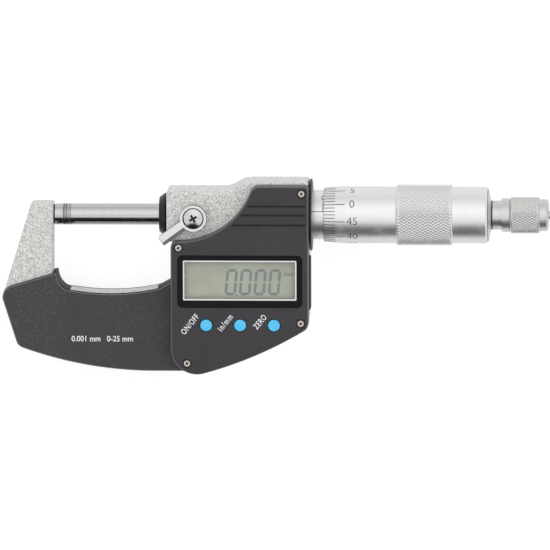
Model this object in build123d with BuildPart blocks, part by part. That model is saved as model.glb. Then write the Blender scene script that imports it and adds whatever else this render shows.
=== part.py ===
"""A 0 to 25 mm digital outside micrometer with its lock lever and ratchet stop.

The measuring line is the X axis: the anvil's face is at X = 0 and the thimble is towards +X.
The display faces +Z, +Y points from the bow to the spindle, and the flat back of the housing is
what the instrument lies on. All sizes are in millimetres.
"""
from math import cos, radians, sin, sqrt, tan
import os

from build123d import *

# Measuring line
spindle_diameter = 6.5
measuring_range = 25.0
closing_gap = 0.02
running_play = 0.03
tip_length = 1.4
anvil_tip_length = 1.1
anvil_seat_depth = 5.7
anvil_neck = 0.4
anvil_neck_depth = 0.2
anvil_chamfer = 0.4

# U frame
arm_inner_x = -3.9
arm_top = 3.8
arm_top_width = 6.9
arm_flank_angle = 17.0
arm_corner = 1.2
arm_edge_radius = 0.9
arm_flank_low_y = -22.5
arm_root_depth = 7.5
arm_root_inner = 1.6
frame_thickness = 9.0

# Bow, given by the outline of its grip covers
throat_depth = 23.9
throat_floor_radius = 70.0
throat_floor_x = 13.5
cover_foot = (-3.0, -17.4)
throat_corner_rise = 1.0
throat_corner = (0.5, throat_corner_rise - throat_depth)
throat_corner_radius = 2.0
bow_back_y = -47.75
bow_back_radius = 119.0
bow_back_x = 27.0
bow_flank_angle = 20.4
bow_flank_foot = (-14.9, -40.1)
cover_top_angle = 16.8
bow_low_corner = 3.0
bow_high_corner = 3.5
grip_wrap = 1.0
grip_proud = 2.0
grip_edge = 0.7
grip_seat_play = 0.05
bare_bow_from = 1.2
bare_bow_to = 28.0
bare_bow_height = 8.0
flank_reach = 16.0
peg_radius = 1.2
peg_length = 1.5
peg_spots = [(-8.0, -31.0), (22.0, -37.0)]

# Housing outline, as the front cover has it
housing_left = 32.45
housing_right = 74.7
housing_top = 10.25
shoulder_y = -6.9
sweep_centre = (34.9, 16.6)
sweep_radius = sweep_centre[1] - shoulder_y
lower_right_y = -33.6
lower_middle = (57.5, -42.5)
lower_left_y = -50.0
shoulder_corner = 1.8
sweep_corner = 3.2
upper_right_corner = 1.2
lower_right_corner = 3.0
lower_left_corner = 8.0

# Depths of the housing, from the spindle axis
back_z = -11.3
face_z = 7.5
cover_height = 5.0
cover_front_z = face_z + cover_height
casting_step = 0.3
back_edge_radius = 0.9
tray_floor = 2.5
tray_wall = 3.0
tray_play = 0.6
overrun = 1.0
boss_half_depth = 7.5
boss_left = 30.95
boss_low_y = -7.6
boss_left_top = 8.1
boss_right_top = 10.85
boss_rise_from = 48.3
boss_rise_to = 56.8
boss_corner = 0.9
boss_edge_radius = 0.8

# Spindle seal and lock
seal_length = 2.4
seal_small_radius = 5.3
seal_large_radius = 6.6
seal_groove = 0.45
seal_spigot_radius = 4.9
seal_spigot = 2.0
wiper_width = 1.3
wiper_radius = 4.5
lock_x = 39.3
lock_screw_radius = 1.95
lock_plug_height = 1.2
lever_gap = 0.1
hub_radius = 4.0
hub_height = 2.6
lever_head_radius = 3.05
lever_head_sink = 0.9
lever_head_dome = 0.75
lever_length = 12.2
lever_angle = 215.8
lever_root_width = 3.1
lever_tip_width = 3.3
lever_tip_corner = 0.7
lever_sink = 0.35
lever_slope = 1.1
lever_bevel = 0.25
lever_recess = (2.6, 0.7)
lever_recess_depth = 0.9
recess_turn = 30.0

# Encoder
encoder_from_right = 15.9
encoder_length = 9.0
encoder_left = housing_right - encoder_from_right
encoder_right = encoder_left + encoder_length
encoder_bore_radius = 8.7
encoder_mouth = 8.4
stator_radius = 8.3
stator_thickness = 1.0
stator_bore_radius = 4.6
stator_tab = 13.0
stator_slot_z = -1.6
air_gap = 0.4
rotor_radius = 8.0
rotor_thickness = 0.8
rotor_hub_radius = 4.2
rotor_flange_radius = 6.5
rotor_flange = 1.0
rotor_sleeve_radius = 4.8
rotor_end_play = 0.15
key_x = 63.9
key_radius = 0.6
key_inner_radius = 2.3
keyway_depth = 1.1
keyway_play = 0.05
rotor_bush_end = 65.8
spring_washer_thickness = 0.3

# Screw, nut barrel and sleeve
barrel_seat_radius = 7.0
barrel_radius = 6.5
barrel_bore_radius = 3.6
nut_from = 97.0
barrel_thread_from = 107.5
barrel_thread_radius = 6.3
barrel_end = 113.5
barrel_slot = 0.8
barrel_slot_from = 99.5
adjusting_nut_radius = 7.2
adjusting_nut_length = 4.0
adjusting_nut_gap = 0.6
spanner_notch = (0.9, 1.2)
spanner_notch_length = 1.6
sleeve_radius = 7.5
sleeve_end = 107.2
collar_radius = 11.05
collar_gap = 0.35
collar_thickness = 0.75
collar_rounding = 0.25
spindle_thread_end = 112.0
spindle_relief_radius = 2.9
taper_large_radius = 3.1
taper_small_radius = 2.6
spindle_end = 130.2

# Thimble
thimble_play = 0.1
thimble_left = 79.1
thimble_edge_radius = 8.2
bevel_end = 85.4
thimble_radius = 8.7
knurl_from = 101.3
knurl_to = 118.6
knurl_radius = 9.35
knurl_chamfer = 0.4
knurl_depth = 0.2
thimble_web_from = 123.5
thimble_round_from = 128.4
thimble_crown = (129.9, 6.6)
thimble_end = 130.45
thimble_face_radius = 4.6

# Ratchet stop
neck_radius = 4.45
neck_end = 133.6
stop_collar_radius = 5.13
stop_collar_end = 136.1
stud_radius = 1.5
stud_length = 5.4
knob_gap = 0.15
knob_radius = 5.6
knob_knurl_depth = 0.18
knob_chamfer = 0.25
knob_knurl_end = 145.2
knob_end = 148.0
knob_end_radius = 4.9
knob_cavity_radius = 4.4
knob_cavity_end = 143.9
post_radius = 2.2
post_end = 145.4
post_play = 0.08
post_flat = 1.7
knob_wall_end = 147.0
end_screw_radius = 0.8
end_screw_head_radius = 1.3
end_screw_end = 148.9
end_screw_depth = 4.4
click_teeth = 12
click_tooth_height = 0.45
click_gap = 0.08
tooth_fill = 0.98
pawl_radius = 4.1
pawl_thickness = 1.8
click_spring_wire = 0.55
click_spring_radius = 3.2
click_spring_turns = 3.0

# Front cover and display
cover_skin = 1.6
cover_wall = 1.9
cover_edge_radius = 0.7
gasket_from = 0.5
gasket_to = 1.4
gasket_thickness = 0.5
window_left = 34.56
window_right = 72.75
window_top = -11.11
window_bottom = -27.15
window_corner = 1.6
window_thickness = 0.8
window_sink = 0.08
window_play = 0.1
view_left = 35.9
view_right = 71.2
view_top = -12.5
view_bottom = -25.1
view_corner = 0.4
lcd_overlap = 0.7
lcd_thickness = 1.6
lcd_under_skin = 0.1
strip_width = 1.3
board_thickness = 0.8
board_inset = 2.3
board_top_y = -9.7
rib_lines = [(56.2, 4.14), (54.1, 1.38), (51.4, -1.69)]
rib_right = 73.8
rib_width = 0.55
rib_depth = 0.4

# Cover screws
screw_spots = [(34.85, -8.8), (72.6, 7.96), (72.3, -32.1), (37.41, -44.5)]
screw_head_radius = 1.2
screw_head_height = 0.85
screw_bore_radius = 1.45
screw_shank_radius = 0.75
screw_head_below = 0.1
screw_depth = 3.6
screw_post_radius = 2.1
screw_recess = (1.3, 0.35)
screw_recess_depth = 0.5
screw_head_rounding = 0.3

# Buttons
button_spots = [43.33, 53.73, 64.13]
button_y = -32.63
button_radius = 1.9
button_play = 0.15
button_flange_radius = 2.6
button_flange = 0.6
button_proud = 0.5
button_travel = 0.5
button_rounding = 0.25
mat_thickness = 0.6
mat_dome = 0.7
mat_dome_radius = 1.5
mat_width = 6.0
mat_overhang = 3.0

# Data port on the right side
port_y = -20.8
port_z = 1.5
port_length = 16.4
port_height = 7.5
port_plug_length = 14.0
port_plug_height = 5.4
port_proud = 0.6
port_bulge = 0.25
port_plug_depth = 2.2
connector_length = 10.4
connector_depth = 4.7
connector_height = 5.6

# Button cell and its quarter-turn cap in the back
cell_spot = (49.0, -31.8)
cell_radius = 5.8
cell_chamfer = 0.4
cell_play = 0.15
cell_height = 5.4
cap_radius = 7.5
cap_play = 0.1
cap_flange = 1.0
cap_body_radius = 6.5
cap_sink = 0.1
cap_lug_radius = 7.6
cap_lug_height = 0.7
cap_lug_angle = 36.0
cap_turn = 75.0
coin_slot_width = 1.8
coin_slot_length = 11.0
coin_slot_depth = 0.6
coin_slot_turn = 30.0
ring_seal = 0.7
holder_radius = 8.8
holder_wall = 1.0
contact_thickness = 0.3
contact_width = 3.0
contact_reach = 3.0
chip_size = 6.0
chip_height = 1.2
chip_spot = (46.0, -18.0)

# Values that follow from the driving dimensions
spindle_radius = spindle_diameter / 2
half_frame = frame_thickness / 2
skin_z = cover_front_z - cover_skin
board_z = face_z + board_thickness
casting_right = housing_right - casting_step
lcd_z = skin_z - lcd_under_skin
tray_z = back_z + tray_floor
throat_floor_y = -throat_depth


def turned(*outline, mode=Mode.ADD):
    """Turn a closed outline of (x, radius) points about the spindle axis."""
    with BuildSketch(Plane.XY) as profile:
        with BuildLine():
            Polyline(*outline, close=True)
        make_face()
    revolve(profile.sketch, axis=Axis.X, mode=mode)


def tube(x_from, x_to, inner, outer, mode=Mode.ADD):
    """A plain turned ring or bar on the spindle axis."""
    turned((x_from, inner), (x_to, inner), (x_to, outer), (x_from, outer), mode=mode)


def near(shape, x, y):
    """The corner of a flat outline that lies nearest to a point."""
    return shape.vertices().sort_by_distance((x, y, 0))[0]


def rising(angle, length):
    """The X and Y steps of a length at an angle."""
    return length * cos(radians(angle)), length * sin(radians(angle))


# The bow's outline, as its grip covers show it
flank_dx, flank_dy = rising(90 + bow_flank_angle, flank_reach)
flank_top = (bow_flank_foot[0] + flank_dx, bow_flank_foot[1] + flank_dy)
top_dx = cover_foot[0] - flank_top[0]
cover_top_left = (flank_top[0], cover_foot[1] - top_dx * tan(radians(cover_top_angle)))
bow_back_centre = bow_back_y + bow_back_radius
floor_centre = throat_floor_y + throat_floor_radius


def on_back(x):
    """A point of the bow's long outer arc."""
    return (x, bow_back_centre - sqrt(bow_back_radius**2 - (x - bow_back_x) ** 2))


def on_floor(x):
    """A point of the throat's shallow floor arc."""
    return (x, floor_centre - sqrt(throat_floor_radius**2 - (x - throat_floor_x) ** 2))


flank_low = on_back(bow_flank_foot[0])
floor_start = on_floor(throat_corner[0] + 2.2)
floor_end = on_floor(bare_bow_to + 0.6)
housing_meet = (housing_left + 2.0, floor_end[1] + 3.2)
bow_inner_end = housing_left + lower_left_corner

with BuildSketch() as bow_outline:
    with BuildLine():
        Polyline(floor_start, throat_corner, cover_foot, cover_top_left, flank_low)
        ThreePointArc(flank_low, on_back(6.0), on_back(bow_back_x))
        Polyline(
            on_back(bow_back_x),
            (bow_inner_end, bow_back_y),
            (bow_inner_end, housing_meet[1]),
            housing_meet,
            floor_end,
        )
        ThreePointArc(floor_end, on_floor(throat_floor_x), floor_start)
    make_face()
    fillet(near(bow_outline, *throat_corner), throat_corner_radius)
    fillet(near(bow_outline, *floor_start), throat_corner_radius)
    fillet(near(bow_outline, *floor_end), throat_corner_radius)
    fillet(near(bow_outline, *flank_low), bow_low_corner)
    fillet(near(bow_outline, *cover_top_left), bow_high_corner)

# The bow's casting lies inside the covers, and is bare along the throat's floor
with BuildSketch() as bow_casting:
    add(bow_outline.sketch)
    offset(amount=-grip_wrap, mode=Mode.REPLACE)
with BuildSketch() as bare_floor:
    add(bow_outline.sketch)
    with Locations(((bare_bow_from + bare_bow_to) / 2, throat_floor_y)):
        Rectangle(bare_bow_to - bare_bow_from, bare_bow_height, mode=Mode.INTERSECT)

# The arm runs down into the bow
flank_slope = tan(radians(arm_flank_angle))
arm_left = arm_inner_x - arm_top_width
arm_low_y = cover_foot[1] - arm_root_depth
with BuildSketch() as arm_outline:
    with BuildLine():
        Polyline(
            (arm_left, arm_top),
            (arm_inner_x, arm_top),
            (arm_inner_x, cover_foot[1] - arm_root_inner),
            (arm_inner_x - arm_root_inner, arm_low_y),
            (arm_left - (arm_top - arm_low_y) * flank_slope + arm_root_inner, arm_low_y),
            (arm_left - (arm_top - arm_flank_low_y) * flank_slope, arm_flank_low_y),
            close=True,
        )
    make_face()
    fillet(near(arm_outline, arm_left, arm_top), arm_corner)
    fillet(near(arm_outline, arm_inner_x, arm_top), arm_corner / 2)

# The housing's outline: the sweep round the lock, the long lower curve and the straight sides
sweep_top_x = sweep_centre[0] + sqrt(sweep_radius**2 - (housing_top - sweep_centre[1]) ** 2)
sweep_mid = (
    sweep_centre[0] + sweep_radius * cos(radians(-50)),
    sweep_centre[1] + sweep_radius * sin(radians(-50)),
)
with BuildSketch() as housing_outline:
    with BuildLine():
        Line((housing_left, shoulder_y), (sweep_centre[0], shoulder_y))
        ThreePointArc((sweep_centre[0], shoulder_y), sweep_mid, (sweep_top_x, housing_top))
        Polyline(
            (sweep_top_x, housing_top),
            (housing_right, housing_top),
            (housing_right, lower_right_y),
        )
        ThreePointArc((housing_right, lower_right_y), lower_middle, (housing_left, lower_left_y))
        Line((housing_left, lower_left_y), (housing_left, shoulder_y))
    make_face()
    fillet(near(housing_outline, housing_left, shoulder_y), shoulder_corner)
    fillet(near(housing_outline, sweep_top_x, housing_top), sweep_corner)
    fillet(near(housing_outline, housing_right, housing_top), upper_right_corner)
    fillet(near(housing_outline, housing_right, lower_right_y), lower_right_corner)
    fillet(near(housing_outline, housing_left, lower_left_y), lower_left_corner)


def housing_inset(amount):
    """The housing's outline drawn in by an amount, inside the sketch being built."""
    add(housing_outline.sketch)
    offset(amount=-amount, kind=Kind.INTERSECTION, mode=Mode.REPLACE)


with BuildSketch() as housing_footprint:
    housing_inset(casting_step - grip_seat_play)

# The boss round the spindle steps up to the barrel in an S curve
rise_mid = ((boss_rise_from + boss_rise_to) / 2, (boss_left_top + boss_right_top) / 2)
with BuildSketch() as boss_outline:
    with BuildLine():
        Line((boss_left, boss_left_top), (boss_rise_from, boss_left_top))
        TangentArc((boss_rise_from, boss_left_top), rise_mid, tangent=(1, 0))
        TangentArc((boss_rise_to, boss_right_top), rise_mid, tangent=(-1, 0))
        Polyline(
            (boss_rise_to, boss_right_top),
            (casting_right, boss_right_top),
            (casting_right, boss_low_y),
            (boss_left, boss_low_y),
            (boss_left, boss_left_top),
        )
    make_face()
    fillet(near(boss_outline, boss_left, boss_left_top), boss_corner)
    fillet(near(boss_outline, boss_left, boss_low_y), boss_corner)
    fillet(near(boss_outline, casting_right, boss_right_top), boss_corner)

# The tray under the display, with material left round the two lower screws
below_board = (3 * (housing_right - housing_left), board_top_y - lower_left_y + lower_left_corner)
with BuildSketch() as tray_outline:
    housing_inset(tray_wall + casting_step)
    with Locations((housing_left, board_top_y - tray_play)):
        Rectangle(*below_board, align=(Align.CENTER, Align.MAX), mode=Mode.INTERSECT)
    with Locations(*screw_spots[2:]):
        Circle(screw_post_radius, mode=Mode.SUBTRACT)

cap_bore_radius = cap_body_radius + cap_play
cap_shelf_z = back_z + cap_sink + cap_flange
notch_angles = [cap_turn, cap_turn + 180]


def cap_lugs(radius, spread, angles):
    """Sectors for the cap's two lugs, in the sketch being built on the cell's centre."""
    for angle in angles:
        left = rising(angle - spread / 2, radius)
        right = rising(angle + spread / 2, radius)
        with BuildLine() as edge:
            Line((0, 0), left)
            ThreePointArc(left, rising(angle, radius), right)
            Line(right, (0, 0))
        make_face(edge.line)


# Frame: one casting, with the arm, the bow, the boss and the housing's tray
with BuildPart() as arm_and_bow:
    with BuildSketch(Plane.XY.offset(-half_frame)):
        add(arm_outline.sketch)
    extrude(amount=frame_thickness)
    fillet(arm_and_bow.edges().filter_by(Plane.XY), arm_edge_radius)
    with BuildSketch(Plane.XY.offset(-half_frame)):
        add(bow_casting.sketch)
        add(bare_floor.sketch)
    extrude(amount=frame_thickness)
with BuildPart() as boss:
    with BuildSketch(Plane.XY.offset(-boss_half_depth)):
        add(boss_outline.sketch)
    extrude(amount=boss_half_depth + face_z)
    top_edges = boss.edges().filter_by(Plane.XY)
    fillet(top_edges.filter_by_position(Axis.X, boss_left - overrun, casting_right - 2 * overrun), boss_edge_radius)
with BuildPart() as frame_body:
    add(arm_and_bow.part)
    add(boss.part)
    with BuildSketch(Plane.XY.offset(back_z)):
        housing_inset(casting_step)
    extrude(amount=face_z - back_z)
    back_face = frame_body.faces().sort_by(Axis.Z)[0]
    fillet(back_face.edges(), back_edge_radius)
    with BuildSketch(Plane.XY.offset(tray_z)):
        add(tray_outline.sketch)
    extrude(amount=face_z - tray_z, mode=Mode.SUBTRACT)
    tube(encoder_left, encoder_right, 0, encoder_bore_radius, mode=Mode.SUBTRACT)
    with BuildSketch(Plane.XY):
        with Locations(((encoder_left + encoder_right) / 2, 0)):
            Rectangle(encoder_right - encoder_left, 2 * encoder_mouth)
    extrude(amount=face_z, mode=Mode.SUBTRACT)
    with BuildSketch(Plane.XY.offset(stator_slot_z)):
        with Locations(((encoder_left + encoder_right) / 2, 0)):
            Rectangle(encoder_right - encoder_left, stator_tab + 1.0, align=(Align.CENTER, Align.MAX))
    extrude(amount=face_z - stator_slot_z, mode=Mode.SUBTRACT)
    spindle_bore = spindle_radius + running_play
    tube(boss_left - 1, encoder_left + 1, 0, spindle_bore, mode=Mode.SUBTRACT)
    tube(boss_left - 1, boss_left + seal_spigot, 0, seal_spigot_radius, mode=Mode.SUBTRACT)
    tube(encoder_right - 1, casting_right + 1, 0, barrel_seat_radius, mode=Mode.SUBTRACT)
    anvil_seat = arm_inner_x - anvil_seat_depth
    tube(anvil_seat, arm_inner_x + 1, 0, spindle_radius, mode=Mode.SUBTRACT)
    with BuildSketch(Plane.XY):
        with Locations((lock_x, 0)):
            Circle(lock_screw_radius + running_play)
    extrude(amount=face_z + 1, mode=Mode.SUBTRACT)
    with BuildSketch(Plane.XY.offset(face_z - screw_depth)):
        with Locations(*screw_spots):
            Circle(screw_shank_radius)
    extrude(amount=screw_depth, mode=Mode.SUBTRACT)
    with BuildSketch(Plane.YZ.offset(casting_right - tray_wall - overrun)):
        with Locations((port_y, port_z)):
            RectangleRounded(port_plug_length, port_plug_height, port_plug_height / 3)
    extrude(amount=tray_wall + 2 * overrun, mode=Mode.SUBTRACT)
    with BuildSketch(Plane.XY.offset(back_z)):
        with Locations(cell_spot):
            Circle(cap_radius + cap_play)
    extrude(amount=cap_shelf_z - back_z, mode=Mode.SUBTRACT)
    with BuildSketch(Plane(origin=(*cell_spot, back_z))):
        Circle(cap_bore_radius)
        cap_lugs(cap_lug_radius + cap_play, cap_lug_angle + 3.0, notch_angles)
    extrude(amount=tray_floor, mode=Mode.SUBTRACT)
    for side in (1, -1):
        with BuildSketch(Plane.XY.offset(side * half_frame)):
            with Locations(*peg_spots):
                Circle(peg_radius)
        extrude(amount=-side * peg_length, mode=Mode.SUBTRACT)
frame_body.part.label = "frame"

# Anvil: a hardened pin pressed into the arm, with a brazed carbide face
with BuildPart() as anvil:
    tube(anvil_seat, -anvil_tip_length, 0, spindle_radius)
    neck_floor = spindle_radius - anvil_neck_depth
    tube(arm_inner_x, arm_inner_x + anvil_neck, neck_floor, spindle_radius + 1, mode=Mode.SUBTRACT)
    chamfer(anvil.edges().sort_by(Axis.X)[0], anvil_chamfer)
anvil.part.label = "anvil"
with BuildPart() as anvil_tip:
    tube(-anvil_tip_length, 0, 0, spindle_radius)
anvil_tip.part.label = "anvil_tip"

# Grip covers: two half shells that meet round the bow's outer edge
grip_front_z = half_frame + grip_proud
grip_covers = {}
for side, name in ((1, "front_grip_cover"), (-1, "rear_grip_cover")):
    with BuildPart() as grip_cover:
        with BuildSketch(Plane.XY):
            add(bow_outline.sketch)
        extrude(amount=side * grip_front_z)
        outer_face = grip_cover.faces().sort_by(Axis.Z)[-1 if side > 0 else 0]
        chamfer(outer_face.edges(), grip_edge, grip_edge / 2)
        with BuildSketch(Plane.XY):
            add(housing_footprint.sketch)
        extrude(amount=side * grip_front_z, mode=Mode.SUBTRACT)
        with BuildSketch(Plane.XY):
            add(bow_casting.sketch)
            add(bare_floor.sketch)
            add(arm_outline.sketch)
            offset(amount=grip_seat_play, mode=Mode.REPLACE)
        extrude(amount=side * half_frame, mode=Mode.SUBTRACT)
        with BuildSketch(Plane.XY.offset(side * half_frame)):
            with Locations(*peg_spots):
                Circle(peg_radius)
        extrude(amount=-side * peg_length)
    grip_cover.part.label = name
    grip_covers[name] = grip_cover

# Seal cap on the boss, with the wiper ring that keeps dirt off the spindle
seal_left = boss_left - seal_length
seal_bore = spindle_radius + thimble_play
wiper_left = boss_left - seal_groove - wiper_width
with BuildPart() as spindle_seal_cap:
    turned(
        (seal_left, seal_bore),
        (seal_left, seal_small_radius),
        (boss_left - seal_groove - 0.3, seal_large_radius),
        (boss_left - seal_groove, seal_large_radius),
        (boss_left - seal_groove, seal_spigot_radius),
        (boss_left + seal_spigot, seal_spigot_radius),
        (boss_left + seal_spigot, seal_bore),
    )
    tube(wiper_left, boss_left + seal_spigot, 0, wiper_radius, mode=Mode.SUBTRACT)
spindle_seal_cap.part.label = "spindle_seal_cap"
with BuildPart() as spindle_wiper:
    tube(wiper_left, wiper_left + wiper_width, spindle_radius + running_play, wiper_radius)
spindle_wiper.part.label = "spindle_wiper"

# Lock: the lever turns a short screw, and a soft plug presses on the spindle
lever_z = face_z + lever_gap
hub_top = lever_z + hub_height
plug_z = spindle_radius + running_play
lever_plane = Plane(origin=(lock_x, 0, 0), x_dir=(*rising(lever_angle, 1.0), 0), z_dir=(0, 0, 1))
with BuildPart() as lock_lever:
    with BuildSketch(lever_plane.offset(lever_z + lever_sink)):
        with BuildLine():
            Polyline(
                (0, -lever_root_width / 2),
                (lever_length, -lever_tip_width / 2),
                (lever_length, lever_tip_width / 2),
                (0, lever_root_width / 2),
                close=True,
            )
        make_face()
    extrude(amount=hub_height - lever_sink)
    along, across = (Axis((0, 0, 0), direction) for direction in (lever_plane.x_dir, lever_plane.y_dir))
    upper_corners = lock_lever.edges().filter_by(Axis.Z).sort_by(along)[-2:].sort_by(across)[:1]
    chamfer(lock_lever.faces().sort_by(Axis.Z)[-1].edges().sort_by(across)[-1], lever_slope)
    fillet(upper_corners, lever_tip_corner)
    arm_top_edges = lock_lever.faces().sort_by(Axis.Z)[-1].edges()
    chamfer(arm_top_edges.sort_by(across)[:-1], lever_bevel)
    with BuildSketch(lever_plane.offset(lever_z)):
        Circle(hub_radius)
    extrude(amount=hub_height)
    with BuildSketch(lever_plane.offset(hub_top)):
        Circle(lever_head_radius + lever_gap)
    extrude(amount=-lever_head_sink, mode=Mode.SUBTRACT)
    with BuildSketch(lever_plane.offset(lever_z)):
        Circle(lock_screw_radius)
    extrude(amount=hub_height, mode=Mode.SUBTRACT)
lock_lever.part.label = "lock_lever"
with BuildPart() as lock_screw:
    with BuildSketch(Plane.XZ):
        with BuildLine():
            head_z = hub_top - lever_head_sink
            rim_z = hub_top - 0.3
            plug_top = plug_z + lock_plug_height + running_play
            Polyline(
                (lock_x, rim_z + lever_head_dome),
                (lock_x, plug_top),
                (lock_x + lock_screw_radius, plug_top),
                (lock_x + lock_screw_radius, head_z),
                (lock_x + lever_head_radius, head_z),
                (lock_x + lever_head_radius, rim_z),
            )
            TangentArc(
                (lock_x, rim_z + lever_head_dome),
                (lock_x + lever_head_radius, rim_z),
                tangent=(1, 0),
            )
        make_face()
    revolve(axis=Axis((lock_x, 0, 0), (0, 0, 1)))
    with BuildSketch(Plane.XY.offset(rim_z + lever_head_dome)):
        with Locations((lock_x, 0)):
            Rectangle(*lever_recess, rotation=recess_turn)
            Rectangle(*lever_recess, rotation=recess_turn + 90)
    extrude(amount=-lever_recess_depth, mode=Mode.SUBTRACT)
lock_screw.part.label = "lock_screw"
with BuildPart() as lock_plug:
    with BuildSketch(Plane.XY.offset(plug_z)):
        with Locations((lock_x, 0)):
            Circle(lock_screw_radius)
    extrude(amount=lock_plug_height)
lock_plug.part.label = "lock_plug"

# Encoder: the stator board is fixed, and the rotor board turns with the keyed bush
rotor_left = encoder_left + stator_thickness + air_gap
flange_left = rotor_left + rotor_thickness
with BuildPart() as encoder_stator:
    with BuildSketch(Plane.YZ.offset(encoder_left)):
        Circle(stator_radius)
        with Locations((0, face_z)):
            Rectangle(stator_tab, face_z + 1, align=(Align.MAX, Align.MAX))
        Circle(stator_bore_radius, mode=Mode.SUBTRACT)
    extrude(amount=stator_thickness)
encoder_stator.part.label = "encoder_stator"
with BuildPart() as encoder_rotor:
    tube(rotor_left, flange_left, rotor_hub_radius, rotor_radius)
encoder_rotor.part.label = "encoder_rotor"
with BuildPart() as rotor_bush:
    turned(
        (encoder_left + rotor_end_play, spindle_bore),
        (encoder_left + rotor_end_play, rotor_hub_radius),
        (flange_left, rotor_hub_radius),
        (flange_left, rotor_flange_radius),
        (flange_left + rotor_flange, rotor_flange_radius),
        (flange_left + rotor_flange, rotor_sleeve_radius),
        (rotor_bush_end, rotor_sleeve_radius),
        (rotor_bush_end, spindle_bore),
    )
    with BuildSketch(Plane.XZ):
        with Locations((key_x, 0)):
            Circle(key_radius)
    extrude(amount=-rotor_radius, mode=Mode.SUBTRACT)
rotor_bush.part.label = "rotor_bush"
with BuildPart() as rotor_key:
    with BuildSketch(Plane.XZ.offset(-key_inner_radius)):
        with Locations((key_x, 0)):
            Circle(key_radius)
    extrude(amount=-(rotor_sleeve_radius - key_inner_radius - 0.1))
rotor_key.part.label = "rotor_key"
with BuildPart() as rotor_spring_washer:
    washer_left = rotor_bush_end + rotor_end_play
    turned(
        (washer_left, rotor_hub_radius - 0.2),
        (washer_left + spring_washer_thickness, rotor_hub_radius - 0.2),
        (encoder_right, rotor_flange_radius - 0.6),
        (encoder_right, rotor_flange_radius - 0.2),
        (encoder_right - spring_washer_thickness, rotor_flange_radius - 0.2),
    )
rotor_spring_washer.part.label = "rotor_spring_washer"

# Barrel with the measuring nut, its adjusting nut, and the graduated sleeve over it
with BuildPart() as nut_barrel:
    turned(
        (encoder_right, barrel_bore_radius),
        (encoder_right, barrel_seat_radius),
        (casting_right, barrel_seat_radius),
        (casting_right, barrel_radius),
        (barrel_thread_from, barrel_radius),
        (barrel_thread_from, barrel_thread_radius),
        (barrel_end, barrel_thread_radius),
        (barrel_end, spindle_bore),
        (nut_from, spindle_bore),
        (nut_from, barrel_bore_radius),
    )
    with BuildSketch(Plane.YZ.offset(barrel_slot_from)):
        with PolarLocations(0, 3):
            Rectangle(barrel_radius + 1, barrel_slot, align=(Align.MIN, Align.CENTER))
    extrude(amount=barrel_end - barrel_slot_from, mode=Mode.SUBTRACT)
nut_barrel.part.label = "nut_barrel"
with BuildPart() as adjusting_nut:
    nut_left = barrel_thread_from + adjusting_nut_gap
    tube(nut_left, nut_left + adjusting_nut_length, barrel_thread_radius, adjusting_nut_radius)
    with BuildSketch(Plane.YZ.offset(nut_left + adjusting_nut_length)):
        with PolarLocations(adjusting_nut_radius, 4):
            Rectangle(*spanner_notch)
    extrude(amount=-spanner_notch_length, mode=Mode.SUBTRACT)
adjusting_nut.part.label = "adjusting_nut"
with BuildPart() as sleeve:
    tube(casting_right, sleeve_end, barrel_radius, sleeve_radius)
    chamfer(sleeve.edges().sort_by(Axis.X)[-2:].sort_by(SortBy.RADIUS)[-1], 0.3)
sleeve.part.label = "sleeve"
with BuildPart() as sleeve_collar:
    collar_left = casting_right + collar_gap
    tube(collar_left, collar_left + collar_thickness, sleeve_radius, collar_radius)
    rim_edges = sleeve_collar.edges().filter_by(GeomType.CIRCLE).group_by(SortBy.RADIUS)[-1]
    chamfer(rim_edges, collar_rounding)
sleeve_collar.part.label = "sleeve_collar"

# Spindle: ground shaft, keyway, measuring screw and the taper that carries the thimble
tip_end = closing_gap + tip_length
with BuildPart() as spindle:
    turned(
        (tip_end, 0),
        (tip_end, spindle_radius),
        (spindle_thread_end, spindle_radius),
        (spindle_thread_end, spindle_relief_radius),
        (thimble_web_from - 0.5, spindle_relief_radius),
        (thimble_web_from - 0.5, taper_large_radius),
        (thimble_web_from, taper_large_radius),
        (spindle_end, taper_small_radius),
        (spindle_end, 0),
    )
    keyway_half = key_radius + keyway_play
    keyway_left = key_x - measuring_range - 2 * keyway_half
    keyway_right = key_x + 2 * keyway_half
    with BuildSketch(Plane.XZ.offset(-(spindle_radius - keyway_depth))):
        with Locations(((keyway_left + keyway_right) / 2, 0)):
            SlotOverall(keyway_right - keyway_left, 2 * keyway_half)
    extrude(amount=-spindle_radius, mode=Mode.SUBTRACT)
    tube(thimble_end - stud_length - 0.4, spindle_end + 1, 0, stud_radius, mode=Mode.SUBTRACT)
spindle.part.label = "spindle"
with BuildPart() as spindle_tip:
    tube(closing_gap, tip_end, 0, spindle_radius)
spindle_tip.part.label = "spindle_tip"

# Thimble: bevelled edge, knurled band, rounded end
thimble_bore = sleeve_radius + thimble_play
knurl_root = knurl_radius - knurl_depth
taper_slope = (taper_large_radius - taper_small_radius) / (spindle_end - thimble_web_from)
with BuildPart() as thimble:
    with BuildSketch(Plane.XY):
        with BuildLine():
            Polyline(
                thimble_crown,
                (thimble_end, thimble_face_radius),
                (thimble_end, taper_small_radius),
                (spindle_end, taper_small_radius),
                (thimble_web_from, taper_large_radius),
                (thimble_web_from, thimble_bore),
                (thimble_left, thimble_bore),
                (thimble_left, thimble_edge_radius),
                (bevel_end, thimble_radius),
                (knurl_from, thimble_radius),
                (knurl_from, knurl_root - knurl_chamfer),
                (knurl_from + knurl_chamfer, knurl_root),
                (knurl_to - knurl_chamfer, knurl_root),
                (knurl_to, knurl_root - knurl_chamfer),
                (knurl_to, thimble_radius),
                (thimble_round_from, thimble_radius),
            )
            TangentArc((thimble_round_from, thimble_radius), thimble_crown, tangent=(1, 0))
        make_face()
    revolve(axis=Axis.X)
thimble.part.label = "thimble"

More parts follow.
